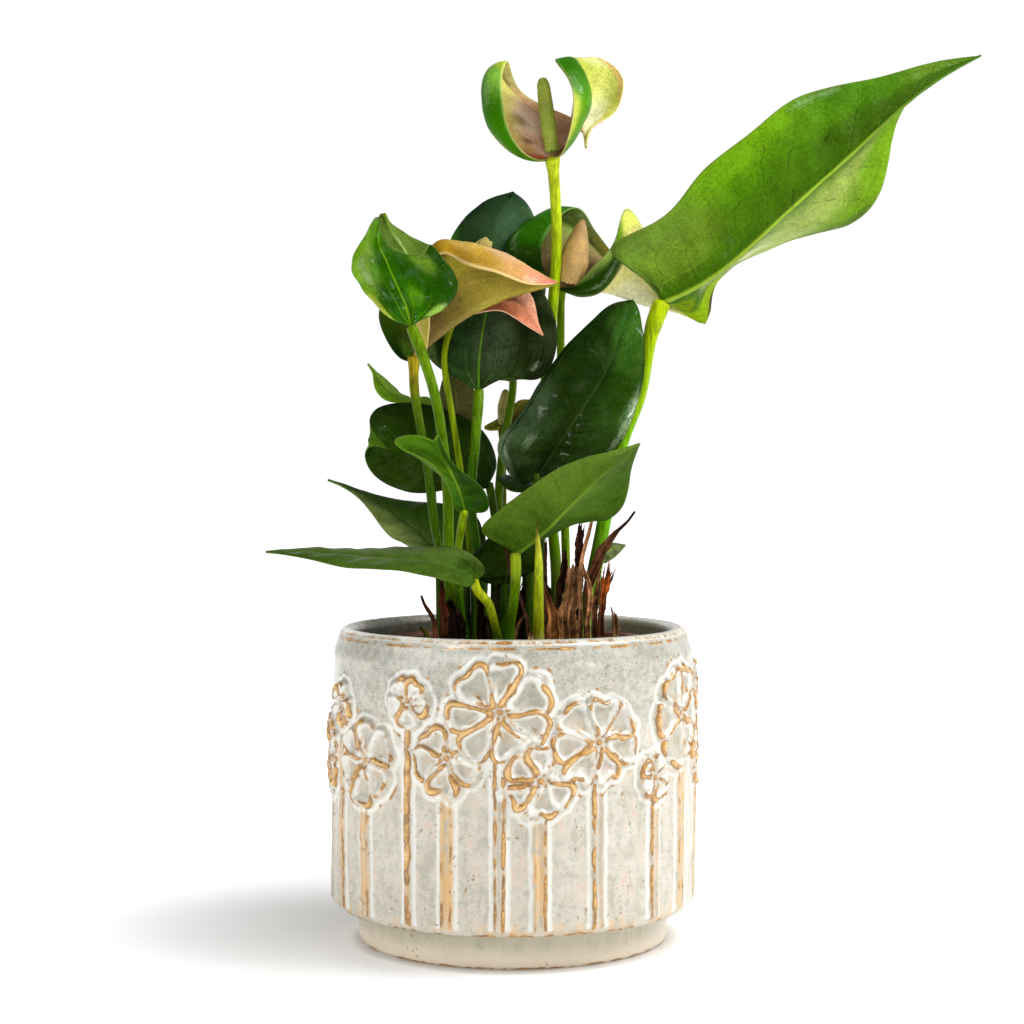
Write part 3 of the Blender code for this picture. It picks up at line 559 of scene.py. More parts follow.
class Tree:
    """A geometry node tree, built from its named inputs to the mesh that it makes."""

    def __init__(self, name, **inputs):
        self.group = bpy.data.node_groups.new(name, "GeometryNodeTree")
        self.group.interface.new_socket("Geometry", in_out="INPUT", socket_type="NodeSocketGeometry")
        self.group.interface.new_socket("Geometry", in_out="OUTPUT", socket_type="NodeSocketGeometry")
        self.values = {}
        for title, value in inputs.items():
            kind = "NodeSocketInt" if isinstance(value, int) else "NodeSocketFloat"
            socket = self.group.interface.new_socket(title, in_out="INPUT", socket_type=kind)
            self.values[socket.identifier] = value
        self.given = self.group.nodes.new("NodeGroupInput")

    def value(self, title):
        """One of the group's inputs."""
        return Field(self.given.outputs[title])

    def node(self, kind, sockets=(), output=0, **settings):
        """One output of a new node in this tree."""
        return self.value("Geometry").node(kind, dict(sockets), output, **settings)

    def scaled(self, vector, scale):
        """A vector, which may be plain numbers, made this many times as long."""
        return self.node("ShaderNodeVectorMath", {0: vector, 3: scale}, operation="SCALE")

    def finish(self, piece, finish, *parts):
        """Joins these parts in this material and puts their mesh in place of the piece."""
        joined = self.node("GeometryNodeJoinGeometry")
        for part in parts:
            self.group.links.new(part.socket, joined.socket.node.inputs[0])
        whole = self.node("GeometryNodeRealizeInstances", {"Geometry": joined})
        smooth = self.node("GeometryNodeSetShadeSmooth", {"Geometry": whole})
        coloured = self.node("GeometryNodeSetMaterial", {"Geometry": smooth, "Material": finish})
        end = self.group.nodes.new("NodeGroupOutput")
        self.group.links.new(coloured.socket, end.inputs[0])
        modifier = piece.modifiers.new("repeats", "NODES")
        modifier.node_group = self.group
        for identifier, value in self.values.items():
            modifier[identifier] = value
        graph = bpy.context.evaluated_depsgraph_get()
        mesh = bpy.data.meshes.new_from_object(piece.evaluated_get(graph), depsgraph=graph)
        name = piece.name
        bpy.data.objects.remove(piece)
        made = bpy.data.objects.new(name, mesh)
        bpy.context.scene.collection.objects.link(made)
        return made


def make_crumbs():
    """Bark chips, peat crumbs and grit strewn over the soil, as one mesh."""
    low = SOIL_TOP - 0.3
    high = low + 0.1
    disc = turned("soil_crumbs", [(0, low), (57.4, low), (57.4, high), (0, high)], 40, None)
    tree = Tree("crumbs", density=170000.0, size=1.1, seed=4)
    upward = tree.node("GeometryNodeInputNormal").axis(2)
    strewn = tree.node("GeometryNodeDistributePointsOnFaces", {
        "Mesh": tree.value("Geometry"), "Selection": upward, "Density": tree.value("density"),
        "Seed": tree.value("seed"),
    })
    kind = tree.node("FunctionNodeRandomValue", {"Seed": 7}, 1, data_type="FLOAT")
    marked = tree.node("GeometryNodeStoreNamedAttribute", {"Geometry": strewn, "Name": "kind", "Value": kind})
    noise = tree.node("ShaderNodeTexNoise", {"Scale": 700.0}, 1)
    off_centre = tree.node("ShaderNodeVectorMath", {0: noise, 1: (0.5, 0.5, 0.5)}, operation="SUBTRACT")
    dent = tree.scaled(off_centre, 1.6 * MM)
    ball = tree.node("GeometryNodeMeshIcoSphere", {"Radius": MM, "Subdivisions": 2})
    rock = tree.node("GeometryNodeSetPosition", {"Geometry": ball, "Offset": dent})
    sizes = {0: (0.5, 0.4, 0.3), 1: (2.2, 1.3, 0.8), "Seed": 9}
    scale = tree.node("FunctionNodeRandomValue", sizes, 0, data_type="FLOAT_VECTOR")
    angles = {0: (-0.5, -0.5, 0.0), 1: (0.5, 0.5, 6.3), "Seed": 5}
    turn = tree.node("FunctionNodeRandomValue", angles, 0, data_type="FLOAT_VECTOR")
    laid = tree.node("GeometryNodeInstanceOnPoints", {
        "Points": marked, "Instance": rock, "Rotation": turn,
        "Scale": tree.scaled(scale, tree.value("size")),
    })
    return tree.finish(disc, bark(), laid)


radii = (58.9, 58.7, 54, 48, 42, 36, 30, 24, 18, 12, 6)
soil_profile = [(0, POT_LOW + 1.8), (46, POT_LOW + 1.8), *((radius, SOIL_TOP - 0.5) for radius in radii)]
seat(turned("soil_bed", [*soil_profile, (0, SOIL_TOP - 0.5)], 120, peat(), drift_by=0.3), "soil", "soil")
seat(make_crumbs(), "soil")


# The stalks ------------------------------------------------------------------------------------------
# Round smooth stalks rise from the crown: each petiole thickens into a joint under its leaf, and each
# peduncle widens into the seat of its flower. They are paler at the foot and finely streaked lengthwise.

GROUND = SOIL_TOP + 0.6


def smooth_curve(points, places):
    """Points at these places, 0 to 1 by length, on a natural cubic spline through the given points."""
    points = np.asarray(points, float)
    count = len(points)
    knots = np.concatenate([[0], np.cumsum(np.linalg.norm(np.diff(points, axis=0), axis=1) ** 0.5)])
    gaps = np.diff(knots)
    system = np.eye(count)
    pull = np.zeros_like(points)
    for i in range(1, count - 1):
        system[i, i - 1 : i + 2] = gaps[i - 1], 2 * (gaps[i - 1] + gaps[i]), gaps[i]
        pull[i] = 6 * ((points[i + 1] - points[i]) / gaps[i] - (points[i] - points[i - 1]) / gaps[i - 1])
    bend = np.linalg.solve(system, pull)
    at = np.linspace(0, knots[-1], 40 * count)
    span = np.clip(np.searchsorted(knots, at, side="right") - 1, 0, count - 2)
    after = ((at - knots[span]) / gaps[span])[:, None]
    before = 1 - after
    square = (gaps[span] ** 2)[:, None] / 6
    fine = before * points[span] + after * points[span + 1]
    fine += ((before**3 - before) * bend[span] + (after**3 - after) * bend[span + 1]) * square
    run = np.concatenate([[0], np.cumsum(np.linalg.norm(np.diff(fine, axis=0), axis=1))])
    return np.stack([np.interp(places, run / run[-1], fine[:, axis]) for axis in range(3)], axis=1)


def rooted(root):
    """The two lowest points of a stalk: in the soil and just above it."""
    return [(*root, GROUND - 3), (*root, GROUND + 4)]


def tube(name, line, girth, finish, sides=18, **fields):
    """A closed tube along a line, its fields given at each place of the line."""
    heading = unit(np.gradient(line, axis=0))
    side = np.zeros_like(line)
    side[0] = unit(np.cross(heading[0], (0.3, 1, 0.1)))
    for i in range(1, len(line)):
        side[i] = unit(side[i - 1] - heading[i] * (side[i - 1] @ heading[i]))
    other = np.cross(heading, side)
    angle = np.linspace(0, 2 * math.pi, sides, endpoint=False)[:, None]
    ring = side[:, None] * np.cos(angle) + other[:, None] * np.sin(angle)
    girth = np.asarray(girth)
    girth = girth if girth.ndim == 2 else girth[:, None] * np.ones(sides)
    spots = line[:, None] + ring * girth[..., None]
    foot = line[0] - heading[0] * girth[0].mean() * 0.3
    top = line[-1] + heading[-1] * girth[-1].mean() * 0.3
    spread = {}
    for field, values in fields.items():
        rows = np.repeat(values, sides, axis=0)
        spread[field] = np.concatenate([rows, values[:1], values[-1:]])
    points = [*spots.reshape(-1, 3), foot, top]
    return add_mesh(name, points, around(len(line), sides), finish, **spread)


def mixed(stops, places):
    """Colours at these places, 0 to 1, from screen colours spread evenly from 0 to 1."""
    stops = np.array([linear(*stop) for stop in stops])
    at = np.linspace(0, 1, len(stops))
    return np.stack([np.interp(places, at, stops[:, channel]) for channel in range(3)], axis=1)


def stalk_skin():
    """Green skin in the stalk's own tones, finely streaked lengthwise, with pale flecks."""
    made, shader, place = finish_named(
        "stalk_skin", coat_weight=0.02, coat_roughness=0.2, specular_ior_level=0.10,
        specular_tint=(0.9, 1.0, 0.3, 1),
    )
    tint = attribute(place, "tint", "Color")
    streak = place.noise(0.9, detail=4, stretch=(1, 1, 0.05))
    cloud = place.noise(14, detail=3, stretch=(1, 1, 0.5))
    fleck = place.noise(1.1, detail=1, stretch=(1, 1, 0.45)).step(0.66, 0.74)
    lit = tint.scaled((streak - 0.5) * 1.8 + (cloud - 0.5) * 0.5 + 0.90)
    feed(
        shader,
        base_color=(fleck * 0.15).blend(lit, linear(200, 206, 110)),
        roughness=streak * 0.2 + 0.28,
        normal=place.bump(streak * 0.12 + fleck * 0.08),
    )
    return made


# Petioles carry leaves and peduncles carry flowers: the record's slot, the place on the soil, the route, the
# radii and the tones from root to top. The last point of a route is the base of what the stalk carries.
STALKS = {
    "peduncle_top": ("stalk_pale", (17, 6), [(18, 8, 141), (16, 11, 170), (13, 15, 207), (14, 17, 232),
        (16, 16, 253), (18, 11, 285), (17, 6, 307), (16, 2, 318)], (2.6, 2.4, 2.2, 2.2, 2.2, 2.2, 2.2, 2.4),
        [(150, 140, 70), (96, 140, 0), (108, 152, 0), (140, 172, 2), (160, 186, 10), (194, 208, 36)]),
    "petiole_tall": ("stalk", (29, -6), [(31, -4, 138), (35, -2, 158), (40, 0, 184), (46, 2, 206),
        (52, 3, 222), (56, 3, 244), (61, 2, 259)], (3.0, 3.2, 3.0, 2.8, 2.8, 2.8, 2.8, 3.4), [(150, 160, 80),
        (96, 150, 20), (90, 150, 0), (106, 160, 0), (148, 182, 0), (174, 198, 6)]),
    "petiole_left": ("stalk", (-25, -12), [(-26, -15, 154), (-26, -20, 179), (-28, -27, 203), (-31, -31, 221),
        (-36, -33, 237), (-40, -33, 247)], (2.6, 2.4, 2.2, 2.1, 2.0, 2.0), [(70, 100, 0), (84, 120, 0),
        (88, 126, 0), (80, 116, 0), (100, 140, 4)]),
    "peduncle_cream": ("stalk", (-19, -8), [(-26, -8, 148), (-31, -9, 164), (-34, -10, 187), (-38, -9, 211),
        (-40, -8, 225), (-40, -6, 236)], (2.2, 1.8, 1.8, 1.8, 1.8, 2.0), [(60, 104, 0), (64, 108, 0),
        (60, 100, 0), (56, 92, 0), (54, 90, 0), (60, 94, 0), (84, 110, 4), (184, 158, 30)]),
    "peduncle_salmon": ("stalk_pale", (-14, 4), [(-18, 5, 162), (-21, 5, 186), (-26, 4, 219), (-28, 5, 239),
        (-23, 8, 255)], (1.8, 1.4, 1.4, 1.3, 1.3), [(88, 122, 0), (112, 142, 0), (128, 154, 2),
        (140, 156, 6)]),
    "petiole_centre": ("stalk", (-11, -1), [(-14, -3, 154), (-17, -3, 178), (-16, -3, 195), (-15, -2, 207),
        (-14, 5, 223)], (2.0, 1.8, 1.9, 2.0, 2.0), [(50, 92, 0), (48, 94, 0), (60, 106, 0), (94, 130, 6)]),
    "petiole_back": ("stalk", (-2, 14), [(-5, 17, 153), (-6, 22, 178), (-3, 27, 207), (0, 31, 226),
        (-2, 33, 246)], (2.0, 1.8, 1.8, 1.7, 1.7), [(80, 116, 4), (84, 120, 4), (90, 126, 8)]),
    "petiole_glossy": ("stalk", (7, -8), [(7, -8, 146), (8, -10, 166), (10, -14, 189)], (1.9, 1.8, 1.8, 1.8),
        [(50, 78, 4), (52, 82, 4), (64, 92, 8)]),
    "petiole_front": ("stalk_pale", (-2, -24), [(0, -30, 137), (1, -34, 148), (1, -34, 158)],
        (2.0, 1.9, 1.9, 1.9), [(60, 100, 0), (70, 116, 0), (110, 150, 2), (170, 190, 40)]),
    "peduncle_green": ("stalk", (22, 13), [(22, 15, 153), (21, 20, 186), (20, 23, 220), (20, 23, 245),
        (20, 23, 266)], (1.9, 1.8, 1.7, 1.6, 1.6), [(96, 134, 2), (104, 140, 2), (110, 146, 4),
        (116, 152, 10)]),
    "petiole_low_dark": ("stalk", (-5, -16), [(-4, -17, 134), (-3, -18, 145)], (1.7, 1.6, 1.6), [(44, 76, 0),
        (36, 66, 0)]),
    "petiole_long": ("stalk_pale", (-6, -26), [(-8, -33, 133), (-10, -37, 139), (-14, -40, 144),
        (-15, -40, 148)], (1.6, 1.6, 1.6, 1.6, 1.6), [(40, 84, 0), (96, 124, 0), (184, 198, 30),
        (178, 188, 20)]),
    "petiole_left_back": ("stalk", (-15, 10), [(-19, 10, 135), (-23, 10, 148)], (1.7, 1.6, 1.6),
        [(120, 154, 8), (130, 158, 16)]),
    "petiole_round": ("stalk", (-7, 13), [(-7, 13, 153), (-8, 12, 174), (-10, 11, 185)], (1.6, 1.5, 1.5, 1.5),
        [(60, 92, 2), (62, 94, 2), (64, 94, 6)]),
    "petiole_young": ("stalk", (-20, -14), [(-22, -20, 151), (-21, -26, 165), (-19, -33, 175)],
        (1.6, 1.5, 1.5, 1.5), [(50, 94, 0), (70, 118, 0), (150, 180, 16)]),
    "peduncle_dried": ("stalk", (-4, 24), [(-4, 28, 152), (-4, 32, 188), (-5, 37, 209)], (1.4, 1.3, 1.2, 1.2),
        [(80, 90, 20), (90, 96, 30), (110, 104, 40)]),
    "petiole_small_right": ("stalk", (33, 8), [(34, 10, 132), (36, 12, 143), (34, 14, 152)],
        (1.2, 1.1, 1.1, 1.0), [(60, 90, 6), (76, 110, 12)]),
    "petiole_edge": ("stalk", (2, -2), [(0, -2, 150), (4, -1, 170), (11, 2, 185)], (1.3, 1.2, 1.1, 1.1),
        [(44, 60, 4), (50, 60, 10)]),
    "petiole_small_back": ("stalk", (-31, 24), [(-32, 34, 152), (-34, 33, 186), (-34, 27, 218)],
        (1.3, 1.2, 1.1, 1.1), [(64, 94, 6), (70, 100, 8), (90, 120, 20)]),
    "petiole_old": ("stalk", (-16, 20), [(-17, 27, 152), (-20, 26, 182), (-22, 21, 207)],
        (1.4, 1.3, 1.2, 1.2), [(70, 80, 24), (80, 86, 30), (90, 92, 40)]),
}

STALK_GRAIN = 1.8  # spacing of the points along a stalk

skin = stalk_skin()
for name, (slot, root, route, radii, tones) in STALKS.items():
    route = rooted(root) + route
    length = np.linalg.norm(np.diff(np.array(route), axis=0), axis=1).sum()
    places = np.linspace(0, 1, int(length / STALK_GRAIN) + 8)
    line = smooth_curve(route, places)
    girth = np.interp(places, np.linspace(0, 1, len(radii)), radii)
    from_top = (1 - places) * length
    if name.startswith("petiole"):
        girth = girth * (1 + 0.13 * step(16, 9, from_top) * step(-1, 3, from_top))
    else:
        girth = girth * (1 + 0.35 * step(7, 0, from_top))
    girth = girth * (1 + 0.45 * step(16, 0, places * length)) + drift(line, 22, seed=31) * 0.05
    joint = step(15, 11, from_top) * step(7, 10, from_top)
    tint = mixed(tones, places) * (1 - 0.25 * joint[:, None])
    seat(tube(name + "_grown", line, girth, skin, tint=tint), slot, name)

# Short dark stalks that stand deep in the crown: the place on the soil, the top and the radius
DEEP_STALKS = (
    ((-20, 6), (-18, 9, 168), 1.8), ((-13, 2), (-12, 4, 166), 1.7), ((-8, 8), (-8, 10, 170), 1.8),
    ((-2, 4), (-1, 6, 168), 1.6), ((5, 8), (5, 10, 166), 1.8), ((12, 5), (11, 8, 165), 1.6),
    ((-16, -10), (-17, -7, 152), 1.3),
)
for number, (root, top, radius) in enumerate(DEEP_STALKS):
    places = np.linspace(0, 1, 24)
    middle = (0.6 * root[0] + 0.4 * top[0] + 0.6, root[1] + 1, 0.5 * (GROUND + top[2]))
    line = smooth_curve([*rooted(root), middle, top], places)
    girth = radius * (1 + 0.4 * step(0.3, 0, places)) * (1 - 0.8 * step(0.8, 1, places))
    # Painted shade: the deep stalks' dark green stands for the crown's shade as well as for their own colour.
    tint = mixed([(60, 76, 8), (48, 84, 0), (38, 74, 0)], places)
    seat(tube(f"stalk_deep_{number}", line, girth, skin, tint=tint), "stalk")


# The leaves ------------------------------------------------------------------------------------------
# Each blade is one leathery sheet with a raised midrib below, a groove above it and side veins that run
# forward to the margin. Upper faces shine, under faces are paler and matt, and old blades dry brown.

BLADE_THICKNESS = 1.0


def blade_grid(midrib, left, right, rows, across, cup, bellies, fan):
    """The surface of a leaf or spathe: rows that fan out from the midrib to the two margins. Left and right
    are as seen on the upper face with the tip up. Each half bows by its cup, a share of its width, or
    through its belly curve, halfway between midrib and margin."""
    rise = np.linspace(0, 1, rows + 1)
    base, tip = midrib[0], midrib[-1]
    along = rise**fan
    middle = smooth_curve(midrib, along)
    ahead = smooth_curve(midrib, np.clip(along + 0.02, 0, 1))
    behind = smooth_curve(midrib, np.clip(along - 0.02, 0, 1))
    heading = unit(ahead - behind)
    margins = [smooth_curve([base, *margin, tip], rise) for margin in (left, right)]
    upward = unit(np.cross(margins[1] - margins[0], heading))
    upward[0], upward[-1] = upward[1], upward[-2]
    grid = np.zeros((rows + 1, 2 * across + 1, 3))
    grid[:, across] = middle
    for side, margin, bow, belly in zip((-1, 1), margins, cup, bellies):
        width = margin - middle
        outward = unit(width)
        lift = side * np.cross(outward, heading) + 0.25 * upward
        lift = unit(lift - outward * (lift * outward).sum(axis=1, keepdims=True))
        for _ in range(rows // 10):
            lift[1:-1] = unit(lift[:-2] + 2 * lift[1:-1] + lift[2:])
        lift *= np.linalg.norm(width, axis=1, keepdims=True) * bow
        halfway = smooth_curve([base, *belly, tip], rise) if belly else middle + width / 2 + lift
        for column in range(1, across + 1):
            out = column / across
            inner = middle * (1 - out) * (1 - 2 * out) + halfway * 4 * out * (1 - out)
            grid[:, across + side * column] = inner + margin * out * (2 * out - 1)
    return grid


def nearness(u, v, at_u, at_v, wide, high):
    """1 at one place of a blade, falling to nothing over about twice this width and height."""
    return np.exp(-(((u - at_u) / wide) ** 2) - ((v - at_v) / high) ** 2)


def painted(stops, u, v):
    """Colours over a blade from its stops: where each stands across and along, from -100 to 100 and from 0 to
    100, how far it reaches, and its red, green and blue."""
    total, weight = 0, 1e-9
    for *spot, red, green, blue in stops:
        at_u, at_v, reach = np.array(spot) / 100
        near = nearness(u, v, at_u, at_v, 1.6 * reach, 0.8 * reach) / reach
        total = total + near[..., None] * linear(red, green, blue)
        weight = weight + near
    return total / weight[..., None]


def sheet(rows, columns):
    """The faces of a thin sheet: a front grid of points, a back one, and the sides that join their edges."""
    count = rows * columns
    faces = []
    for left in range(0, count - columns, columns):
        right = left + columns - 1
        for start in range(left, right):
            ring = (start, start + 1, start + columns + 1, start + columns)
            faces += [ring, tuple(count + i for i in ring[::-1])]
        for start, turn in ((left, 1), (right, -1)):
            faces.append((start, start + columns, count + start + columns, count + start)[::turn])
    return faces


def make_blade(name, finish, grid, upper, under, veins, spots=(), shines=(), rib=0.9, quilt=0.25, buckle=0.7):
    """A closed blade on a grid: both faces, joined at their margins, with midrib, veins and buckles."""
    rows, columns = grid.shape[:2]
    count = rows * columns
    u, v = np.meshgrid(np.linspace(-1, 1, columns), np.linspace(0, 1, rows))
    middle = grid[:, columns // 2][:, None]
    left, right = (np.linalg.norm(margin - middle, axis=-1) for margin in (grid[:, :1], grid[:, -1:]))
    half = np.where(u < 0, left, right)
    away = np.abs(u) * half
    normal = unit(np.cross(np.gradient(grid, axis=1), np.gradient(grid, axis=0)))
    normal[0], normal[-1] = normal[1], normal[-2]
    for _ in range(2):
        normal[1:-1] = unit(normal[:-2] + 2 * normal[1:-1] + normal[2:])
    seed = seed_of(name)
    fade = step(0, 0.08, v) * step(1, 0.9, v)
    ridge = bell(away, 1.3) * step(1, 0.4, v)
    lines = v * veins + 0.15 * drift(grid, 16, seed)
    furrow = np.cos(2 * math.pi * lines) * step(0.03, 0.2, np.abs(u)) * step(1, 0.7, np.abs(u))
    waves = drift(grid, 26, seed + 1) * step(0.1, 0.9, np.abs(u)) + 0.4 * drift(grid, 10, seed + 2)
    rise = (-quilt * furrow + 0.5 * buckle * waves * step(3, 14, half)) * fade
    thin = 1 - 0.55 * step(0.85, 1, np.abs(u))
    shell = []
    for side in (1, -1):
        lift = rise + side * BLADE_THICKNESS / 2 * thin - (0.3 if side == 1 else rib) * ridge * fade
        shell.append(grid + normal * lift[..., None])
    points = np.concatenate([face.reshape(-1, 3) for face in shell])
    tints = []
    for stops in (upper, under):
        tint = painted(stops, u, v)
        for *spot, red, green, blue in spots:
            at_u, at_v, reach = np.array(spot) / 100
            near = np.exp(-((((u - at_u) / (2.5 * reach)) ** 2 + ((v - at_v) / reach) ** 2) ** 2))
            tint = tint + (linear(red, green, blue) - tint) * near[..., None]
        tints.append(tint.reshape(-1, 3))
    # Painted highlights: pale patches round each place listed in shines.
    painted_highlight = 0 * u
    for at_u, at_v, reach in np.array(shines).reshape(-1, 3) / 100:
        painted_highlight = painted_highlight + nearness(u, v, at_u, at_v, 1.4 * reach, reach)
    fields = {
        "tint": np.concatenate(tints), "half": np.tile(half.ravel(), 2),
        "shine": np.tile(painted_highlight.ravel(), 2) - 0.35, "under": np.repeat([0.0, 1.0], count),
    }
    faces = sheet(rows, columns)
    piece = add_mesh(name + "_grown", points, faces, finish, closed=False, **fields)
    flat = np.stack(np.meshgrid(np.linspace(0, 1, columns), np.linspace(0, 1, rows)), axis=-1).reshape(-1, 2)
    layer = piece.data.uv_layers.new(name="blade")
    layer.data.foreach_set("uv", flat[np.ravel(faces) % count].astype(np.float32).ravel())
    turn_outward(piece.data, join=True)
    return piece


def leaf_skin(name, veins, gloss, dull, coat, pale, nerve_share, rib_share, sheen, mottled, level=0.8,
              edge=(120, 130, 50), edge_share=0.4, dark_veins=0.25):
    """A blade's finish: gloss above and dull below, painted highlights that also carry a clear coat, a thin
    pale midrib, nerves that fan out from the base, dark side veins and a painted grey sheen along the fibres."""
    pale = linear(*pale)
    made, shader, place = finish_named(
        name, coat_roughness=0.15, specular_ior_level=0.13, specular_tint=(0.70, 1.0, 0.10, 1)
    )
    tint = attribute(place, "tint", "Color")
    half, under, shine = (attribute(place, name) for name in ("half", "under", "shine"))
    flat = place.node("ShaderNodeUVMap", {}, uv_map="blade")
    across = (flat.axis(0) - 0.5).maths("ABSOLUTE") * 2
    along = flat.axis(1)
    cloud, fine = place.noise(16, detail=4, Roughness=0.6), place.noise(1.5, detail=4, Roughness=0.7)
    patch = place.noise(5, detail=3, Roughness=0.6)
    warp = place.noise(14, detail=3) - 0.5
    fibre = flat.noise(1, detail=3, stretch=(0.14, 0.004, 1))
    rank = (along * veins - across * 0.8 + warp * 1.2).maths("PINGPONG", 0.5)
    side = rank.step(0.045, 0.0) * across.step(1.0, 0.7) * patch.step(0.38, 0.50)
    bent = across + warp * 0.06
    inner, outer = (((bent - at).maths("ABSOLUTE") * half).step(0.6, 0.1) for at in (0.24, 0.62))
    nerves = (inner + outer * 0.6) * along.step(0.50, 0.12) * along.step(0.0, 0.05)
    rib = (across * half).step(0.75, 0.2) * along.step(0.96, 0.5)
    grit = place.noise(0.6, detail=2)
    strength = (cloud - 0.5) * 1.6 + (fine - 0.5) * 1.5 + (grit - 0.5) * 1.3 + (fibre - 0.5) * 0.7
    toned = tint.scaled(strength * mottled + level - side * dark_veins)
    # Painted sheen: a pale grey-green laid along the fibres in cloudy patches, weaker on the under face.
    painted_sheen_mask = (fibre * 0.4 + cloud * 0.6).step(0.40, 0.62) * sheen * (1 - under * 0.7)
    painted_sheen_tone = painted_sheen_mask.blend(toned, linear(116, 132, 96))
    veined = (nerves * nerve_share).blend(painted_sheen_tone, pale)
    ribbed = (rib * rib_share).blend(veined, pale)
    bright = tint.node("ShaderNodeRGBToBW", {0: tint}).step(0.03, 0.22)
    rim = across.step(0.965, 0.995) * bright
    # Painted highlight: pale patches round the shines, broken by fine noise, which also carry the clear coat.
    painted_highlight = (shine + (fine - 0.5) * 1.3 + (fibre - 0.5) * 1.2 + (patch - 0.5) * 1.0).step(0.15, 1.0)
    rimmed = (rim * edge_share).blend(ribbed, linear(*edge))
    feed(
        shader,
        base_color=(painted_highlight * 0.30).blend(rimmed, linear(168, 190, 142)),
        roughness=(fine - 0.5) * 0.3 + fibre * 0.12 + under * (dull - gloss) + (gloss - 0.03),
        coat_weight=((1 - under * 0.7) * coat * patch.step(0.50, 0.60)).maths("MAXIMUM", painted_highlight * 0.8),
        normal=place.bump((fine - fibre) * 0.22 + patch * 0.4 - side * 0.14 - nerves * 0.2),
    )
    return made


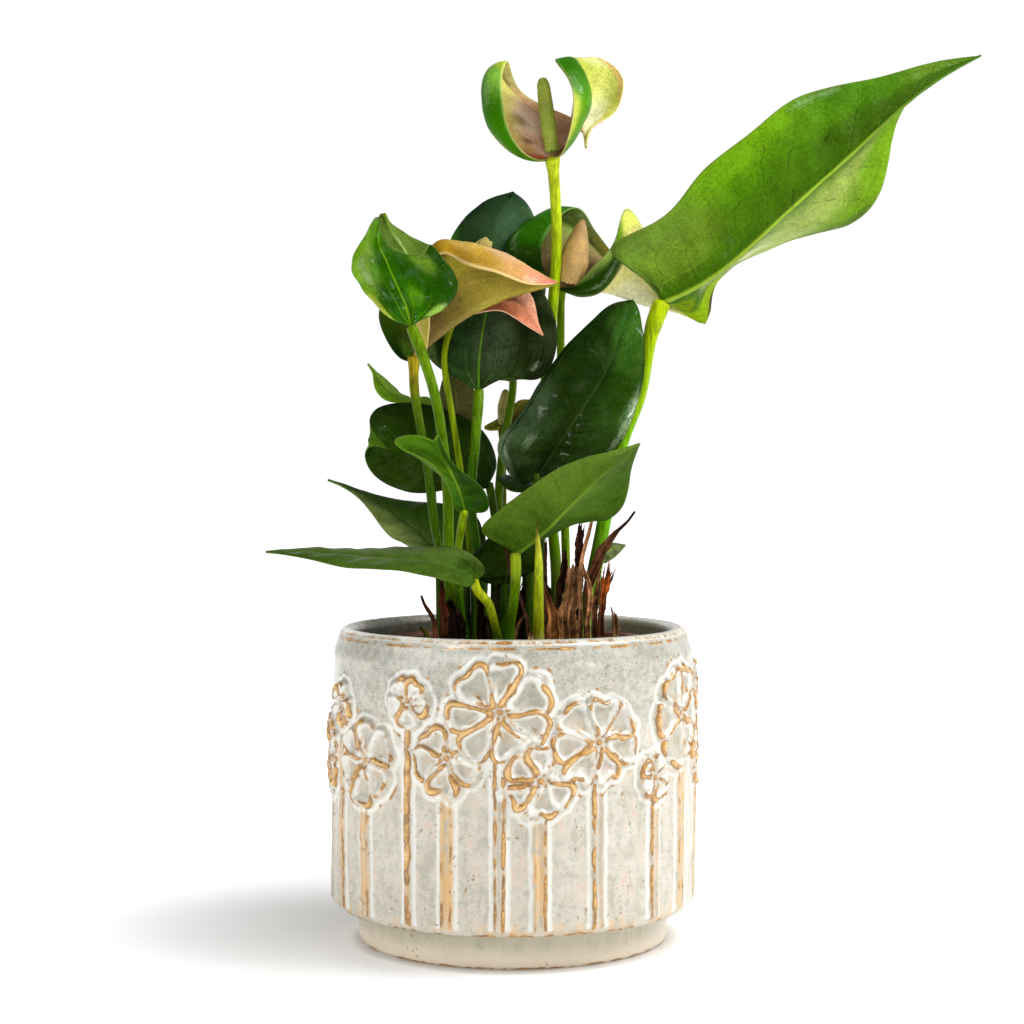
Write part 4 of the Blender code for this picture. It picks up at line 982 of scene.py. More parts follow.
LEAVES = {
    "leaf_tall": dict(
        slot="leaf_bright", rows=110, across=36, veins=13, kind="leaf",
        midrib=[(61, 2, 259), (81, -4, 269), (110, -8, 294), (139, -2, 320), (167, 8, 345), (195, 22, 363)],
        left=[(70, 7, 255), (79, 11, 251), (82, 14, 260), (86, 15, 270), (121, 16, 287), (141, 14, 293),
            (153, 12, 309), (160, 12, 338)],
        right=[(53, 2, 269), (40, 4, 281), (60, 2, 293), (76, 0, 311), (97, 0, 328), (117, 4, 343),
            (151, 10, 352), (170, 14, 358)],
        cup=(0.06, 0.06),
        upper=[(0, 50, 100, 60, 108, 8), (0, 10, 40, 78, 122, 14)],
        under=[(25, 50, 25, 70, 116, 6), (90, 45, 14, 112, 168, 14), (50, 25, 10, 122, 156, 40),
            (80, 20, 12, 114, 150, 50), (100, 10, 8, 72, 94, 28), (50, 6, 7, 58, 86, 12),
            (80, 74, 12, 66, 122, 4), (30, 72, 12, 56, 94, 4), (80, 92, 8, 96, 134, 30),
            (60, 45, 6, 84, 140, 6), (60, 60, 8, 80, 132, 6), (-40, 50, 14, 160, 180, 84),
            (-80, 65, 12, 116, 164, 22), (-100, 52, 5, 90, 122, 40), (-50, 32, 6, 200, 206, 144),
            (-90, 9, 5, 150, 186, 6), (-40, 6, 4, 124, 154, 10)],
        spots=[(-100, 16, 3.5, 64, 48, 20)],
        shines=[(92, 60, 5), (95, 68, 5)],
        look=dict(level=0.77, mottled=0.6, dark_veins=0.25, nerve_share=0.2),
    ),
    "leaf_left": dict(
        slot="leaf_bright", rows=80, across=26, veins=8, kind="glossy",
        midrib=[(-40, -33, 247), (-42, -31, 255), (-46, -29, 264), (-50, -28, 273), (-53, -29, 283),
            (-51, -33, 291), (-48, -39, 285), (-44, -43, 279), (-41, -44, 274)],
        left=[(-47, -31, 250), (-53, -28, 255), (-60, -24, 263), (-64, -22, 269), (-63, -22, 276),
            (-57, -26, 286), (-54, -31, 290), (-52, -38, 286), (-48, -43, 277)],
        right=[(-35, -34, 250), (-27, -31, 254), (-22, -30, 263), (-26, -31, 272), (-32, -36, 278),
            (-34, -41, 275)],
        cup=(0.08, 0.1),
        fan=1.4,
        # Painted highlights and shade: the pale stops at (-65, 44), (-95, 20) and (90, 22) are painted
        # highlights, and the dark stops right of the midrib, at (35, 46) and (80, 44), are painted shade.
        upper=[(10, 40, 30, 40, 104, 0), (-65, 44, 12, 132, 172, 60), (-95, 45, 15, 112, 166, 14),
            (-35, 24, 12, 24, 80, 0), (-40, 42, 5, 80, 136, 10), (80, 44, 20, 12, 58, 0),
            (35, 46, 10, 20, 70, 0), (30, 30, 6, 88, 148, 8), (60, 56, 7, 112, 152, 40),
            (90, 22, 5, 140, 180, 70), (0, 16, 6, 44, 100, 2), (0, 66, 8, 60, 118, 4),
            (-50, 68, 10, 96, 150, 14), (-95, 20, 5, 176, 192, 70), (30, 30, 5, 52, 112, 2)],
        # Painted highlight: the pale stop at (0, 98), along the folded tip's edge.
        under=[(0, 85, 100, 86, 114, 40), (0, 98, 6, 132, 160, 84), (0, 30, 50, 90, 116, 30)],
        shines=[(-72, 46, 9), (-62, 38, 7), (-45, 29, 6), (90, 25, 7), (-10, 36, 5)],
        quilt=0.15,
        buckle=2.2,
    ),
    "leaf_centre": dict(
        slot="leaf_dark", rows=72, across=26, veins=9, kind="sheen",
        midrib=[(-14, 5, 223), (-14, 7, 234), (-12, 12, 250), (-8, 18, 267), (-3, 24, 277)],
        left=[(-21, 5, 227), (-35, 9, 237), (-35, 17, 254), (-24, 22, 269), (-13, 24, 276)],
        right=[(-2, 4, 228), (11, 5, 228), (18, 7, 242), (16, 9, 257), (10, 15, 267), (3, 21, 274)],
        # Painted sheen: the grey stop at (15, 50).
        upper=[(-50, 50, 30, 34, 70, 30), (15, 50, 14, 70, 88, 60), (70, 50, 35, 3, 13, 0),
            (50, 25, 10, 38, 60, 26), (-95, 35, 6, 110, 134, 66), (-10, 85, 20, 30, 64, 22),
            (-20, 30, 8, 26, 54, 18)],
        under=[(0, 50, 100, 54, 78, 24)],
        shines=[(80, 36, 5)],
        look=dict(mottled=1.0),
    ),
    "leaf_back": dict(
        slot="leaf_dark", rows=64, across=24, veins=9, kind="sheen",
        midrib=[(-2, 33, 246), (-5, 30, 262), (-7, 28, 283), (-5, 31, 298), (0, 36, 308)],
        left=[(-14, 35, 247), (-27, 33, 262), (-27, 30, 285), (-17, 32, 300), (-7, 35, 306)],
        right=[(7, 37, 250), (14, 37, 267), (11, 35, 288), (8, 35, 299), (4, 36, 305)],
        cup=(0.06, 0.06),
        upper=[(0, 50, 50, 28, 62, 36), (60, 50, 30, 46, 78, 54), (-70, 50, 30, 16, 48, 24),
            (20, 80, 12, 52, 86, 60), (100, 60, 5, 100, 124, 100), (-100, 60, 6, 50, 110, 20)],
        under=[(0, 50, 100, 62, 88, 36)],
        look=dict(rib_share=0.12, nerve_share=0.05, edge=(70, 140, 30), edge_share=0.6, level=1.1),
    ),
    "leaf_glossy": dict(
        slot="leaf_dark", rows=90, across=30, veins=10, kind="gloss",
        midrib=[(10, -14, 189), (20, -17, 203), (30, -16, 218), (39, -11, 233), (44, -4, 247), (49, 4, 260)],
        left=[(4, -14, 185), (-4, -16, 193), (-6, -15, 201), (0, -12, 210), (10, -8, 224), (23, -3, 242),
            (36, 2, 255), (43, 4, 259)],
        right=[(20, -20, 186), (35, -22, 192), (46, -20, 207), (52, -14, 226), (53, -4, 245), (51, 3, 257)],
        cup=(0.06, 0.06),
        # Painted sheen, highlights and shade: the grey stop at (-75, 40) is painted sheen, the pale stops at
        # (-100, 22) and (92, 50) are painted highlights, and the near-black stop at (-12, 40) is painted
        # shade in the crease beside the midrib.
        upper=[(0, 50, 40, 14, 44, 4), (-75, 40, 10, 60, 82, 54), (-30, 40, 6, 34, 62, 26),
            (-100, 22, 6, 96, 114, 90), (92, 50, 5, 70, 104, 60), (50, 55, 14, 30, 72, 4),
            (-12, 40, 7, 6, 28, 2), (50, 80, 15, 42, 94, 10), (0, 92, 10, 36, 88, 12),
            (-60, 75, 15, 14, 44, 2), (-50, 90, 6, 24, 70, 4), (40, 35, 12, 20, 54, 4),
            (0, 15, 12, 28, 48, 18)],
        under=[(0, 50, 100, 50, 78, 20)],
        shines=[(92, 58, 7), (95, 48, 7), (90, 38, 7), (-50, 30, 9), (-85, 22, 6)],
        buckle=1.2,
        look=dict(edge=(150, 176, 70), edge_share=0.6),
    ),
    "leaf_front": dict(
        slot="leaf_mid", rows=80, across=26, veins=9, kind="matte",
        midrib=[(1, -34, 158), (12, -40, 167), (25, -45, 180), (38, -47, 192), (49, -47, 201)],
        left=[(7, -32, 161), (15, -30, 165), (27, -30, 170), (37, -30, 171), (44, -33, 179), (46, -38, 190),
            (47, -43, 195)],
        right=[(-4, -36, 161), (-12, -42, 167), (-4, -48, 176), (13, -53, 189), (28, -53, 196),
            (41, -51, 199)],
        cup=(0.05, 0.07),
        upper=[(0, 50, 100, 58, 90, 14)],
        under=[(0, 50, 60, 72, 106, 20), (-70, 50, 30, 58, 94, 8), (70, 60, 30, 90, 120, 34),
            (0, 10, 10, 56, 96, 4), (80, 90, 10, 98, 128, 36), (-20, 80, 12, 84, 118, 30),
            (-60, 25, 8, 48, 84, 4)],
    ),
    "leaf_low_dark": dict(
        slot="leaf_dark", veins=6, kind="gloss",
        midrib=[(-3, -18, 145), (-1, -20, 155), (3, -18, 167), (7, -14, 179)],
        left=[(-12, -18, 146), (-17, -16, 153), (-10, -14, 163), (-1, -12, 174)],
        right=[(3, -20, 148), (10, -22, 152), (13, -20, 165), (12, -16, 174)],
        upper=[(0, 50, 100, 12, 32, 0), (60, 60, 40, 22, 48, 2)],
        under=[(0, 50, 100, 20, 44, 2)],
        look=dict(sheen=0.0, coat=0.05),
    ),
    "leaf_long": dict(
        slot="leaf_mid", rows=80, across=20, veins=9, kind="matte",
        midrib=[(-15, -40, 148), (-28, -43, 154), (-48, -44, 156), (-71, -44, 158), (-96, -44, 159)],
        left=[(-17, -50, 146), (-28, -58, 149), (-47, -60, 153), (-66, -56, 154), (-82, -49, 157)],
        right=[(-11, -33, 151), (-16, -28, 157), (-33, -26, 160), (-61, -30, 159), (-79, -38, 160)],
        cup=(0.08, 0.08),
        upper=[(0, 50, 100, 66, 98, 16), (70, 50, 40, 88, 112, 40), (0, 10, 20, 62, 106, 6),
            (0, 95, 10, 92, 132, 24)],
        under=[(0, 50, 100, 84, 106, 36)],
    ),
    "leaf_left_back": dict(
        slot="leaf_dark", rows=64, across=18, veins=8, kind="gloss",
        midrib=[(-23, 10, 148), (-33, 14, 158), (-49, 22, 171), (-67, 32, 181), (-79, 38, 186)],
        left=[(-30, 6, 148), (-42, 8, 158), (-51, 13, 163), (-59, 21, 172), (-69, 31, 181)],
        right=[(-15, 15, 153), (-13, 17, 166), (-18, 20, 173), (-32, 25, 176), (-55, 31, 179),
            (-69, 35, 183)],
        # Painted reflection: the grey-green stop at (-70, 50) lightens the lower half, where light reflects
        # off the blade; the upper half stays dark.
        upper=[(0, 50, 100, 58, 90, 24), (70, 50, 40, 36, 62, 8), (-70, 50, 30, 126, 142, 76)],
        under=[(0, 50, 100, 72, 92, 36)],
        look=dict(level=1.3),
    ),
    "leaf_round": dict(
        slot="leaf_dark", rows=64, across=20, veins=8, kind="gloss",
        midrib=[(-10, 11, 185), (-24, 11, 194), (-41, 11, 200), (-53, 9, 203), (-59, 4, 203), (-51, -2, 199)],
        left=[(-10, 9, 183), (-21, 9, 183), (-34, 11, 181), (-46, 11, 182), (-57, 10, 188), (-61, 7, 196),
            (-58, 2, 200)],
        right=[(-7, 15, 192), (-10, 17, 203), (-24, 18, 214), (-41, 18, 218), (-54, 15, 217), (-59, 8, 211)],
        cup=(0.06, 0.06),
        fan=1.3,
        upper=[(0, 50, 100, 24, 54, 0), (0, 90, 20, 46, 88, 4), (-60, 40, 20, 42, 68, 8)],
        under=[(0, 80, 100, 88, 128, 22)],
        look=dict(sheen=0.04),
    ),
    "leaf_small_back": dict(
        slot="leaf_mid", veins=6, kind="leaf",
        midrib=[(-34, 27, 218), (-45, 27, 220), (-54, 27, 225), (-61, 27, 235)],
        left=[(-37, 23, 215), (-47, 23, 218), (-54, 23, 220), (-58, 24, 225), (-59, 26, 231)],
        right=[(-36, 29, 221), (-45, 30, 221), (-52, 30, 227), (-58, 28, 232)],
        upper=[(0, 50, 100, 116, 164, 24), (70, 60, 40, 150, 190, 80)],
        under=[(0, 50, 100, 130, 172, 50)],
        look=dict(level=1.1),
    ),
    "leaf_old": dict(
        slot="dry_blade", veins=6, kind="dry",
        midrib=[(-22, 21, 207), (-23, 21, 215), (-24, 21, 224), (-23, 21, 235)],
        left=[(-29, 21, 210), (-31, 21, 220), (-28, 21, 231)],
        right=[(-16, 21, 210), (-16, 21, 220), (-18, 21, 231)],
        upper=[(0, 50, 100, 92, 92, 48), (80, 50, 40, 112, 108, 60)],
        under=[(0, 50, 100, 92, 92, 48)],
    ),
    "leaf_young": dict(
        slot="leaf_bright", veins=6, kind="leaf",
        midrib=[(-19, -33, 175), (-22, -36, 185), (-26, -38, 193), (-29, -40, 199), (-29, -43, 205)],
        left=[(-22, -36, 175), (-25, -42, 184), (-31, -44, 192), (-39, -45, 197), (-46, -44, 202),
            (-36, -44, 204), (-31, -44, 202)],
        right=[(-15, -33, 174), (-10, -33, 175), (-11, -34, 182), (-17, -36, 188), (-24, -38, 194),
            (-27, -41, 200)],
        cup=(-0.08, -0.05),
        upper=[(0, 50, 100, 38, 88, 0), (-70, 70, 40, 90, 140, 16), (60, 50, 20, 22, 62, 0)],
        under=[(0, 50, 100, 80, 128, 10)],
        look=dict(nerve_share=0.0, rib_share=0.3),
    ),
    "leaf_edge": dict(
        slot="leaf_dark", veins=5, kind="gloss",
        midrib=[(11, 2, 185), (3, 0, 186), (-7, -3, 187)],
        left=[(7, -6, 182), (0, -8, 182), (-5, -6, 185)],
        right=[(10, 12, 187), (2, 10, 188), (-4, 4, 188)],
        upper=[(0, 50, 100, 44, 82, 4)],
        under=[(0, 50, 100, 66, 100, 12)],
    ),
    "leaf_small_right": dict(
        slot="leaf_mid", veins=4, kind="leaf",
        midrib=[(34, 14, 152), (41, 15, 157), (47, 16, 159)],
        left=[(38, 10, 152), (43, 12, 155)],
        right=[(35, 18, 158), (41, 18, 160)],
        upper=[(0, 50, 100, 86, 112, 24)],
        under=[(0, 50, 100, 134, 148, 96)],
    ),
}

LEAF_LOOKS = {
    "leaf": dict(gloss=0.34, dull=0.42, coat=0.10, pale=(168, 196, 60), nerve_share=0.14, rib_share=0.75,
                 sheen=0.06, mottled=0.5, dark_veins=0.12),
    "glossy": dict(gloss=0.28, dull=0.5, coat=0.3, pale=(128, 176, 20), nerve_share=0.30, rib_share=0.8,
                   sheen=0.0, mottled=0.8, level=0.98, dark_veins=0.1),
    "matte": dict(gloss=0.42, dull=0.5, coat=0.05, pale=(130, 164, 50), nerve_share=0.12, rib_share=0.5,
                  sheen=0.08, mottled=0.6, dark_veins=0.2),
    "sheen": dict(gloss=0.38, dull=0.5, coat=0.05, pale=(96, 146, 30), nerve_share=0.35, rib_share=0.85,
                  sheen=0.10, mottled=0.8, dark_veins=0.12),
    "gloss": dict(gloss=0.30, dull=0.45, coat=0.15, pale=(66, 100, 36), nerve_share=0.10, rib_share=0.3,
                  sheen=0.04, mottled=0.8, dark_veins=0.3),
    "dry": dict(gloss=0.6, dull=0.65, coat=0.0, pale=(130, 118, 70), nerve_share=0.35, rib_share=0.6,
                sheen=0.0, mottled=0.8),
}


def grow(name, looks, slot, veins, kind, midrib, left, right, upper, under, rows=48, across=14, spots=(),
         cup=(0.05, 0.05), left_belly=None, right_belly=None, fan=1.6, look=None, **form):
    """One leaf or spathe, with its finish, in place of its solid."""
    grid = blade_grid(midrib, left, right, rows, across, cup, (left_belly, right_belly), fan)
    finish = leaf_skin(name + "_skin", veins, **{**looks[kind], **(look or {})})
    seat(make_blade(name, finish, grid, upper, under, veins, spots, **form), slot, name)


for name, leaf in LEAVES.items():
    grow(name, LEAF_LOOKS, **leaf)


# The flowers -----------------------------------------------------------------------------------------
# A waxy spathe wraps each spadix. The spathes open green and cream and age to salmon, their margins
# rolled and thin. The spadix is a fleshy spike that is set all round with small florets in spirals.

SPATHES = {
    "spathe_cream": dict(
        slot="spathe_cream", rows=90, across=30, veins=7, kind="wax",
        midrib=[(-40, -6, 236), (-31, -9, 243), (-17, -11, 253), (0, -10, 261), (18, -9, 266)],
        left=[(-46, 0, 236), (-53, 6, 246), (-55, 9, 257), (-46, 14, 270), (-36, 15, 277), (-24, 15, 276),
            (-12, 12, 273), (4, 4, 269), (12, -2, 267)],
        right=[(-35, -12, 238), (-33, -21, 254), (-29, -23, 276), (-20, -23, 273), (-7, -21, 269),
            (6, -15, 265)],
        right_belly=[(-38, -12, 248), (-40, -14, 262), (-32, -14, 277), (-14, -12, 280), (3, -10, 274),
            (12, -8, 269)],
        cup=(-0.18, -0.16),
        upper=[(90, 50, 6, 168, 128, 24), (95, 58, 5, 130, 92, 14), (80, 58, 5, 190, 156, 74),
            (92, 68, 7, 180, 140, 44), (90, 80, 8, 196, 144, 84), (85, 90, 6, 216, 138, 112),
            (100, 98, 5, 232, 112, 116), (70, 75, 6, 216, 172, 128), (60, 64, 6, 206, 178, 90),
            (100, 30, 10, 176, 164, 50), (-95, 17, 22, 10, 46, 0), (-55, 12, 7, 80, 118, 26),
            (-85, 32, 14, 18, 58, 2), (0, 4, 5, 160, 150, 30), (-90, 50, 20, 150, 150, 40),
            (0, 60, 30, 200, 170, 90)],
        under=[(85, 50, 5, 206, 200, 60), (60, 56, 6, 204, 196, 72), (42, 47, 3, 112, 96, 40),
            (35, 55, 5, 190, 172, 62), (50, 66, 6, 184, 164, 72), (20, 75, 10, 162, 144, 56),
            (5, 50, 6, 136, 116, 54), (15, 58, 5, 158, 138, 56), (0, 34, 6, 140, 112, 60),
            (20, 40, 5, 104, 88, 44), (50, 92, 8, 214, 166, 100), (-90, 5, 10, 40, 70, 6),
            (0, 12, 8, 150, 108, 66)],
        look=dict(edge=(238, 206, 140), edge_share=0.85),
    ),
    "spathe_salmon": dict(
        slot="spathe_salmon", rows=60, across=16, veins=5, kind="wax",
        midrib=[(-23, 8, 255), (-13, 5, 259), (0, 0, 259), (7, -4, 254), (12, -7, 245)],
        left=[(-23, 12, 261), (-11, 11, 265), (2, 6, 266), (8, 2, 261), (10, -3, 252)],
        right=[(-20, 5, 254), (-12, 1, 255), (-4, -3, 255), (4, -6, 250)],
        cup=(-0.12, -0.1),
        upper=[(0, 50, 100, 236, 152, 118), (-80, 50, 30, 246, 186, 156), (80, 50, 30, 226, 136, 96)],
        under=[(0, 50, 100, 236, 160, 130), (80, 50, 30, 246, 190, 164), (-70, 50, 30, 222, 128, 92),
            (0, 98, 8, 236, 206, 90)],
        look=dict(edge=(250, 206, 180)),
    ),
    "spathe_green": dict(
        slot="spathe_green", rows=100, across=32, veins=7, kind="wax",
        midrib=[(20, 23, 266), (30, 19, 265), (41, 18, 264), (53, 21, 260), (67, 25, 257), (81, 27, 252)],
        left=[(16, 19, 268), (12, 16, 277), (12, 17, 283), (15, 21, 290), (21, 27, 298), (28, 33, 300),
            (33, 35, 294), (38, 36, 287), (48, 36, 276), (64, 34, 266), (76, 30, 259)],
        right=[(26, 13, 267), (33, 11, 274), (38, 11, 279), (43, 14, 288), (47, 19, 299), (54, 24, 292),
            (63, 25, 277), (77, 24, 268), (83, 24, 260)],
        left_belly=[(15, 21, 267), (2, 21, 275), (-2, 24, 283), (5, 29, 290), (18, 35, 295), (30, 39, 290),
            (37, 37, 281), (49, 34, 269), (65, 32, 260)],
        right_belly=[(24, 14, 264), (32, 10, 263), (38, 9, 266), (45, 11, 275), (51, 19, 279), (58, 23, 274),
            (70, 25, 261), (78, 25, 256)],
        cup=(0, 0),
        # Painted highlight: the palest stop, at (-100, 34), high on the far lobe.
        upper=[(0, 40, 40, 150, 124, 84), (-95, 40, 10, 110, 160, 40), (-100, 34, 5, 190, 206, 150),
            (-80, 36, 12, 64, 116, 12), (-50, 30, 12, 24, 58, 4), (-60, 15, 15, 26, 40, 8),
            (-100, 49, 9, 200, 216, 160), (-100, 62, 10, 232, 212, 60), (-80, 58, 10, 176, 182, 96),
            (-50, 50, 10, 120, 150, 60), (-30, 60, 12, 140, 112, 84), (-30, 78, 10, 206, 186, 150),
            (10, 15, 10, 190, 150, 96), (60, 20, 20, 104, 136, 44), (90, 20, 8, 150, 164, 76),
            (70, 40, 12, 196, 180, 60), (20, 36, 10, 110, 84, 54)],
        under=[(0, 15, 20, 50, 92, 6), (100, 16, 5, 130, 152, 60), (100, 26, 5, 146, 172, 76),
            (75, 22, 10, 14, 56, 0), (65, 32, 8, 22, 68, 2), (100, 44, 6, 216, 220, 100),
            (95, 36, 4, 120, 168, 34), (35, 50, 16, 238, 228, 140), (0, 60, 10, 246, 240, 200),
            (60, 60, 12, 232, 222, 130), (50, 74, 10, 190, 196, 84), (60, 88, 8, 156, 190, 14),
            (100, 86, 4, 60, 54, 16), (40, 97, 4, 130, 150, 30), (-90, 28, 10, 44, 104, 4),
            (-90, 13, 12, 14, 48, 0), (-60, 30, 8, 16, 60, 0)],
        spots=[(0, 99, 4, 110, 80, 30)],
        shines=[(76, 32, 7), (66, 22, 6), (-75, 22, 6)],
        look=dict(edge=(150, 176, 110), edge_share=0.5),
    ),
    "spathe_top": dict(
        slot="spathe_green", rows=110, across=34, veins=7, kind="wax",
        midrib=[(16, 2, 318), (20, 9, 324), (24, 15, 329), (28, 18, 334), (30, 15, 331), (30, 9, 323)],
        left=[(11, -4, 316), (4, -14, 318), (-2, -20, 327), (-4, -20, 339), (-4, -12, 350), (-2, -3, 356),
            (1, 7, 349), (9, 15, 343), (17, 19, 340), (24, 19, 337), (29, 15, 332)],
        right=[(20, -8, 318), (23, -15, 327), (24, -17, 336), (22, -13, 347), (17, -5, 356), (24, 9, 358),
            (34, 16, 361), (43, 18, 357), (46, 17, 349), (41, 14, 337), (33, 11, 332)],
        left_belly=[(10, -3, 316), (-2, -10, 320), (-9, -11, 330), (-10, -9, 341), (-7, -2, 348),
            (-1, 8, 346), (8, 16, 334), (18, 19, 332), (27, 17, 333)],
        right_belly=[(21, -2, 320), (27, -7, 328), (31, -8, 338), (29, -3, 349), (27, 8, 354), (34, 17, 352),
            (39, 20, 346), (37, 17, 336), (32, 13, 331)],
        fan=1.5,
        cup=(0, 0),
        upper=[(0, 50, 40, 226, 188, 160), (-88, 30, 17, 162, 162, 52), (-70, 15, 15, 132, 132, 42),
            (-80, 45, 14, 172, 172, 64), (-100, 50, 6, 206, 214, 100), (-100, 60, 6, 232, 224, 160),
            (-100, 72, 8, 240, 206, 160), (-62, 30, 10, 134, 122, 46), (-43, 51, 5, 196, 190, 90),
            (-35, 43, 4.5, 156, 150, 56), (-30, 36, 4, 150, 140, 52), (-27, 28, 4, 176, 152, 76),
            (-24, 20, 4, 186, 146, 84), (-30, 10, 6, 186, 90, 60), (30, 8, 6, 130, 76, 40),
            (60, 20, 15, 170, 122, 74), (100, 30, 10, 206, 208, 90), (-22, 38, 2, 112, 84, 46),
            (-17, 27, 2, 116, 80, 50), (-12, 42, 8, 236, 206, 184), (-10, 28, 6, 216, 166, 140),
            (20, 40, 8, 176, 124, 90)],
        # Painted highlight: the pale stop at (-90, 42), high on the left lobe.
        under=[(-85, 25, 22, 48, 112, 0), (-90, 42, 6, 120, 172, 60), (-100, 52, 6, 176, 196, 40),
            (-60, 15, 8, 140, 160, 60), (-90, 8, 8, 70, 114, 10), (0, 10, 10, 96, 132, 20),
            (100, 20, 5, 196, 202, 80), (80, 18, 8, 76, 132, 6), (90, 32, 5, 56, 122, 10),
            (80, 40, 5, 44, 108, 0), (100, 43, 5, 40, 116, 0), (60, 55, 12, 186, 196, 76),
            (50, 70, 12, 206, 208, 104), (100, 70, 5, 226, 184, 116), (80, 60, 5, 226, 224, 150),
            (30, 80, 12, 234, 230, 200), (60, 88, 6, 220, 208, 120), (0, 100, 6, 200, 200, 60)],
        shines=[(-80, 36, 7), (-70, 14, 5), (93, 30, 7)],
        look=dict(edge=(216, 216, 130), edge_share=0.5),
    ),
    "spathe_dried": dict(
        slot="dry_blade", veins=5, kind="dry",
        midrib=[(-5, 37, 209), (0, 39, 212), (3, 39, 217), (7, 36, 220)],
        left=[(-7, 35, 207), (-12, 33, 208), (-8, 36, 211), (-1, 41, 217), (3, 41, 220)],
        right=[(-2, 35, 208), (2, 35, 212), (6, 34, 217)],
        cup=(-0.15, -0.1),
        upper=[(0, 50, 100, 170, 166, 60), (60, 50, 30, 120, 90, 40), (-50, 70, 20, 206, 190, 90)],
        under=[(0, 50, 100, 146, 168, 40), (-50, 50, 30, 130, 120, 50), (50, 60, 20, 190, 176, 76)],
    ),
}

FLOWER_LOOKS = {
    "wax": dict(gloss=0.32, dull=0.38, coat=0.15, pale=(226, 216, 130), nerve_share=0.06, rib_share=0.10,
                sheen=0.0, mottled=0.6, level=0.96, edge=(226, 206, 130), edge_share=0.6, dark_veins=0.08),
    "dry": LEAF_LOOKS["dry"],
}
for name, spathe in SPATHES.items():
    grow(name, FLOWER_LOOKS, **spathe, rib=0.3, quilt=0.12, buckle=0.5)


def floret_skin(name, valley, tip):
    """Fleshy florets, paler on their crowns than between them."""
    made, shader, place = finish_named(name, coat_weight=0.2, coat_roughness=0.3)
    crown = attribute(place, "crown")
    cloud, fine = place.noise(6, detail=3), place.noise(0.4)
    high = (crown + (fine - 0.5) * 0.5).step(0.25, 0.85)
    toned = high.blend(linear(*valley), linear(*tip))
    feed(
        shader,
        base_color=toned.scaled((cloud - 0.5) * 1.3 + 1.0),
        roughness=fine * 0.2 + 0.35,
        normal=place.bump(fine * 0.1),
    )
    return made


SPADIX_POINTS = 24
GOLDEN_TURN = 2.39996  # from one floret to the next, in radians


def make_spadix(name, line, radii, finish, florets):
    """A spike along a line, with florets in a spiral all over it."""
    curve = bpy.data.curves.new(name, "CURVE")
    curve.dimensions = "3D"
    places = np.linspace(0, 1, SPADIX_POINTS)
    spine = smooth_curve(line, places)
    girth = np.interp(places, np.linspace(0, 1, len(radii)), radii) * np.sqrt(step(1.04, 0.9, places)) ** 0.8
    spline = curve.splines.new("POLY")
    spline.points.add(SPADIX_POINTS - 1)
    for point, spot, radius in zip(spline.points, spine, girth):
        point.co = (*(spot * MM), 1)
        point.radius = radius * MM
    piece = bpy.data.objects.new(name, curve)
    bpy.context.scene.collection.objects.link(piece)
    tree = Tree(name, florets=florets, size=0.00062, turn=GOLDEN_TURN)
    given = {"Curve": tree.value("Geometry"), "Count": tree.value("florets")}
    points = tree.node("GeometryNodeCurveToPoints", given, mode="COUNT")
    tangent, normal = (Field(points.socket.node.outputs[number]) for number in (1, 2))
    angle = tree.node("GeometryNodeInputIndex") * tree.value("turn")
    outward = tree.node("ShaderNodeVectorRotate", {"Vector": normal, "Axis": tangent, "Angle": angle})
    radius = tree.node("GeometryNodeInputRadius")
    spread = tree.node("GeometryNodeSetPosition", {
        "Geometry": points, "Offset": tree.scaled(outward, radius * 0.93),
    })
    ball = tree.node("GeometryNodeMeshIcoSphere", {"Radius": 1.0, "Subdivisions": 1})
    height = tree.node("GeometryNodeInputPosition").axis(2)
    crowned = {"Geometry": ball, "Name": "crown", "Value": height}
    floret = tree.node("GeometryNodeStoreNamedAttribute", crowned)
    tilt = tree.node("FunctionNodeAlignRotationToVector", {"Vector": outward}, axis="Z")
    scale = tree.scaled((1.0, 1.0, 0.75), radius * 0.1 + tree.value("size") * 0.85)
    laid = tree.node("GeometryNodeInstanceOnPoints", {
        "Points": spread, "Instance": floret, "Rotation": tilt, "Scale": scale,
    })
    ring = tree.node("GeometryNodeCurvePrimitiveCircle", {"Resolution": 20, "Radius": 0.92})
    core = tree.node("GeometryNodeCurveToMesh", {
        "Curve": tree.value("Geometry"), "Profile Curve": ring, "Scale": radius, "Fill Caps": True,
    })
    return tree.finish(piece, finish, laid, core)


# The slot, the route from base to tip, the radii, how many florets, and the tones between and on them
SPADICES = {
    "spadix_top": ("spadix_green", [(16, -2, 320), (14, -2, 333), (12, -2, 349)], (2.6, 2.9, 2.7, 2.2), 560,
        (96, 116, 6), (168, 184, 60)),
    "spadix_green": ("spadix_tan", [(23, 17, 268), (25, 17, 276), (27, 18, 285), (29, 19, 294)],
        (4.6, 6.0, 4.2, 1.2), 1200, (84, 58, 22), (192, 152, 80)),
    "spadix_cream": ("spadix_tan", [(-36, 0, 249), (-24, 0, 266), (-10, 0, 284)], (2.2, 3.2, 3.2), 760,
        (160, 136, 36), (216, 196, 110)),
    "spadix_dried": ("spadix_tan", [(-4, 34, 210), (-4, 34, 217), (-3, 34, 224)], (2.0, 2.3, 1.2), 200,
        (130, 120, 30), (206, 190, 110)),
    "spadix_salmon": ("spadix_tan", [(-20, 6, 258), (-15, 5, 261), (-9, 4, 263)], (1.2, 1.3, 1.0), 130,
        (190, 150, 70), (226, 196, 120)),
}
for name, (slot, line, radii, florets, valley, tip) in SPADICES.items():
    finish = floret_skin(name + "_skin", valley, tip)
    seat(make_spadix(name + "_spike", line, radii, finish, florets), slot, name)


# The new shoot ---------------------------------------------------------------------------------------
# The next leaf is still rolled up: a bright pointed spike from the crown, one edge lapped over the other,
# with a brown dried point.

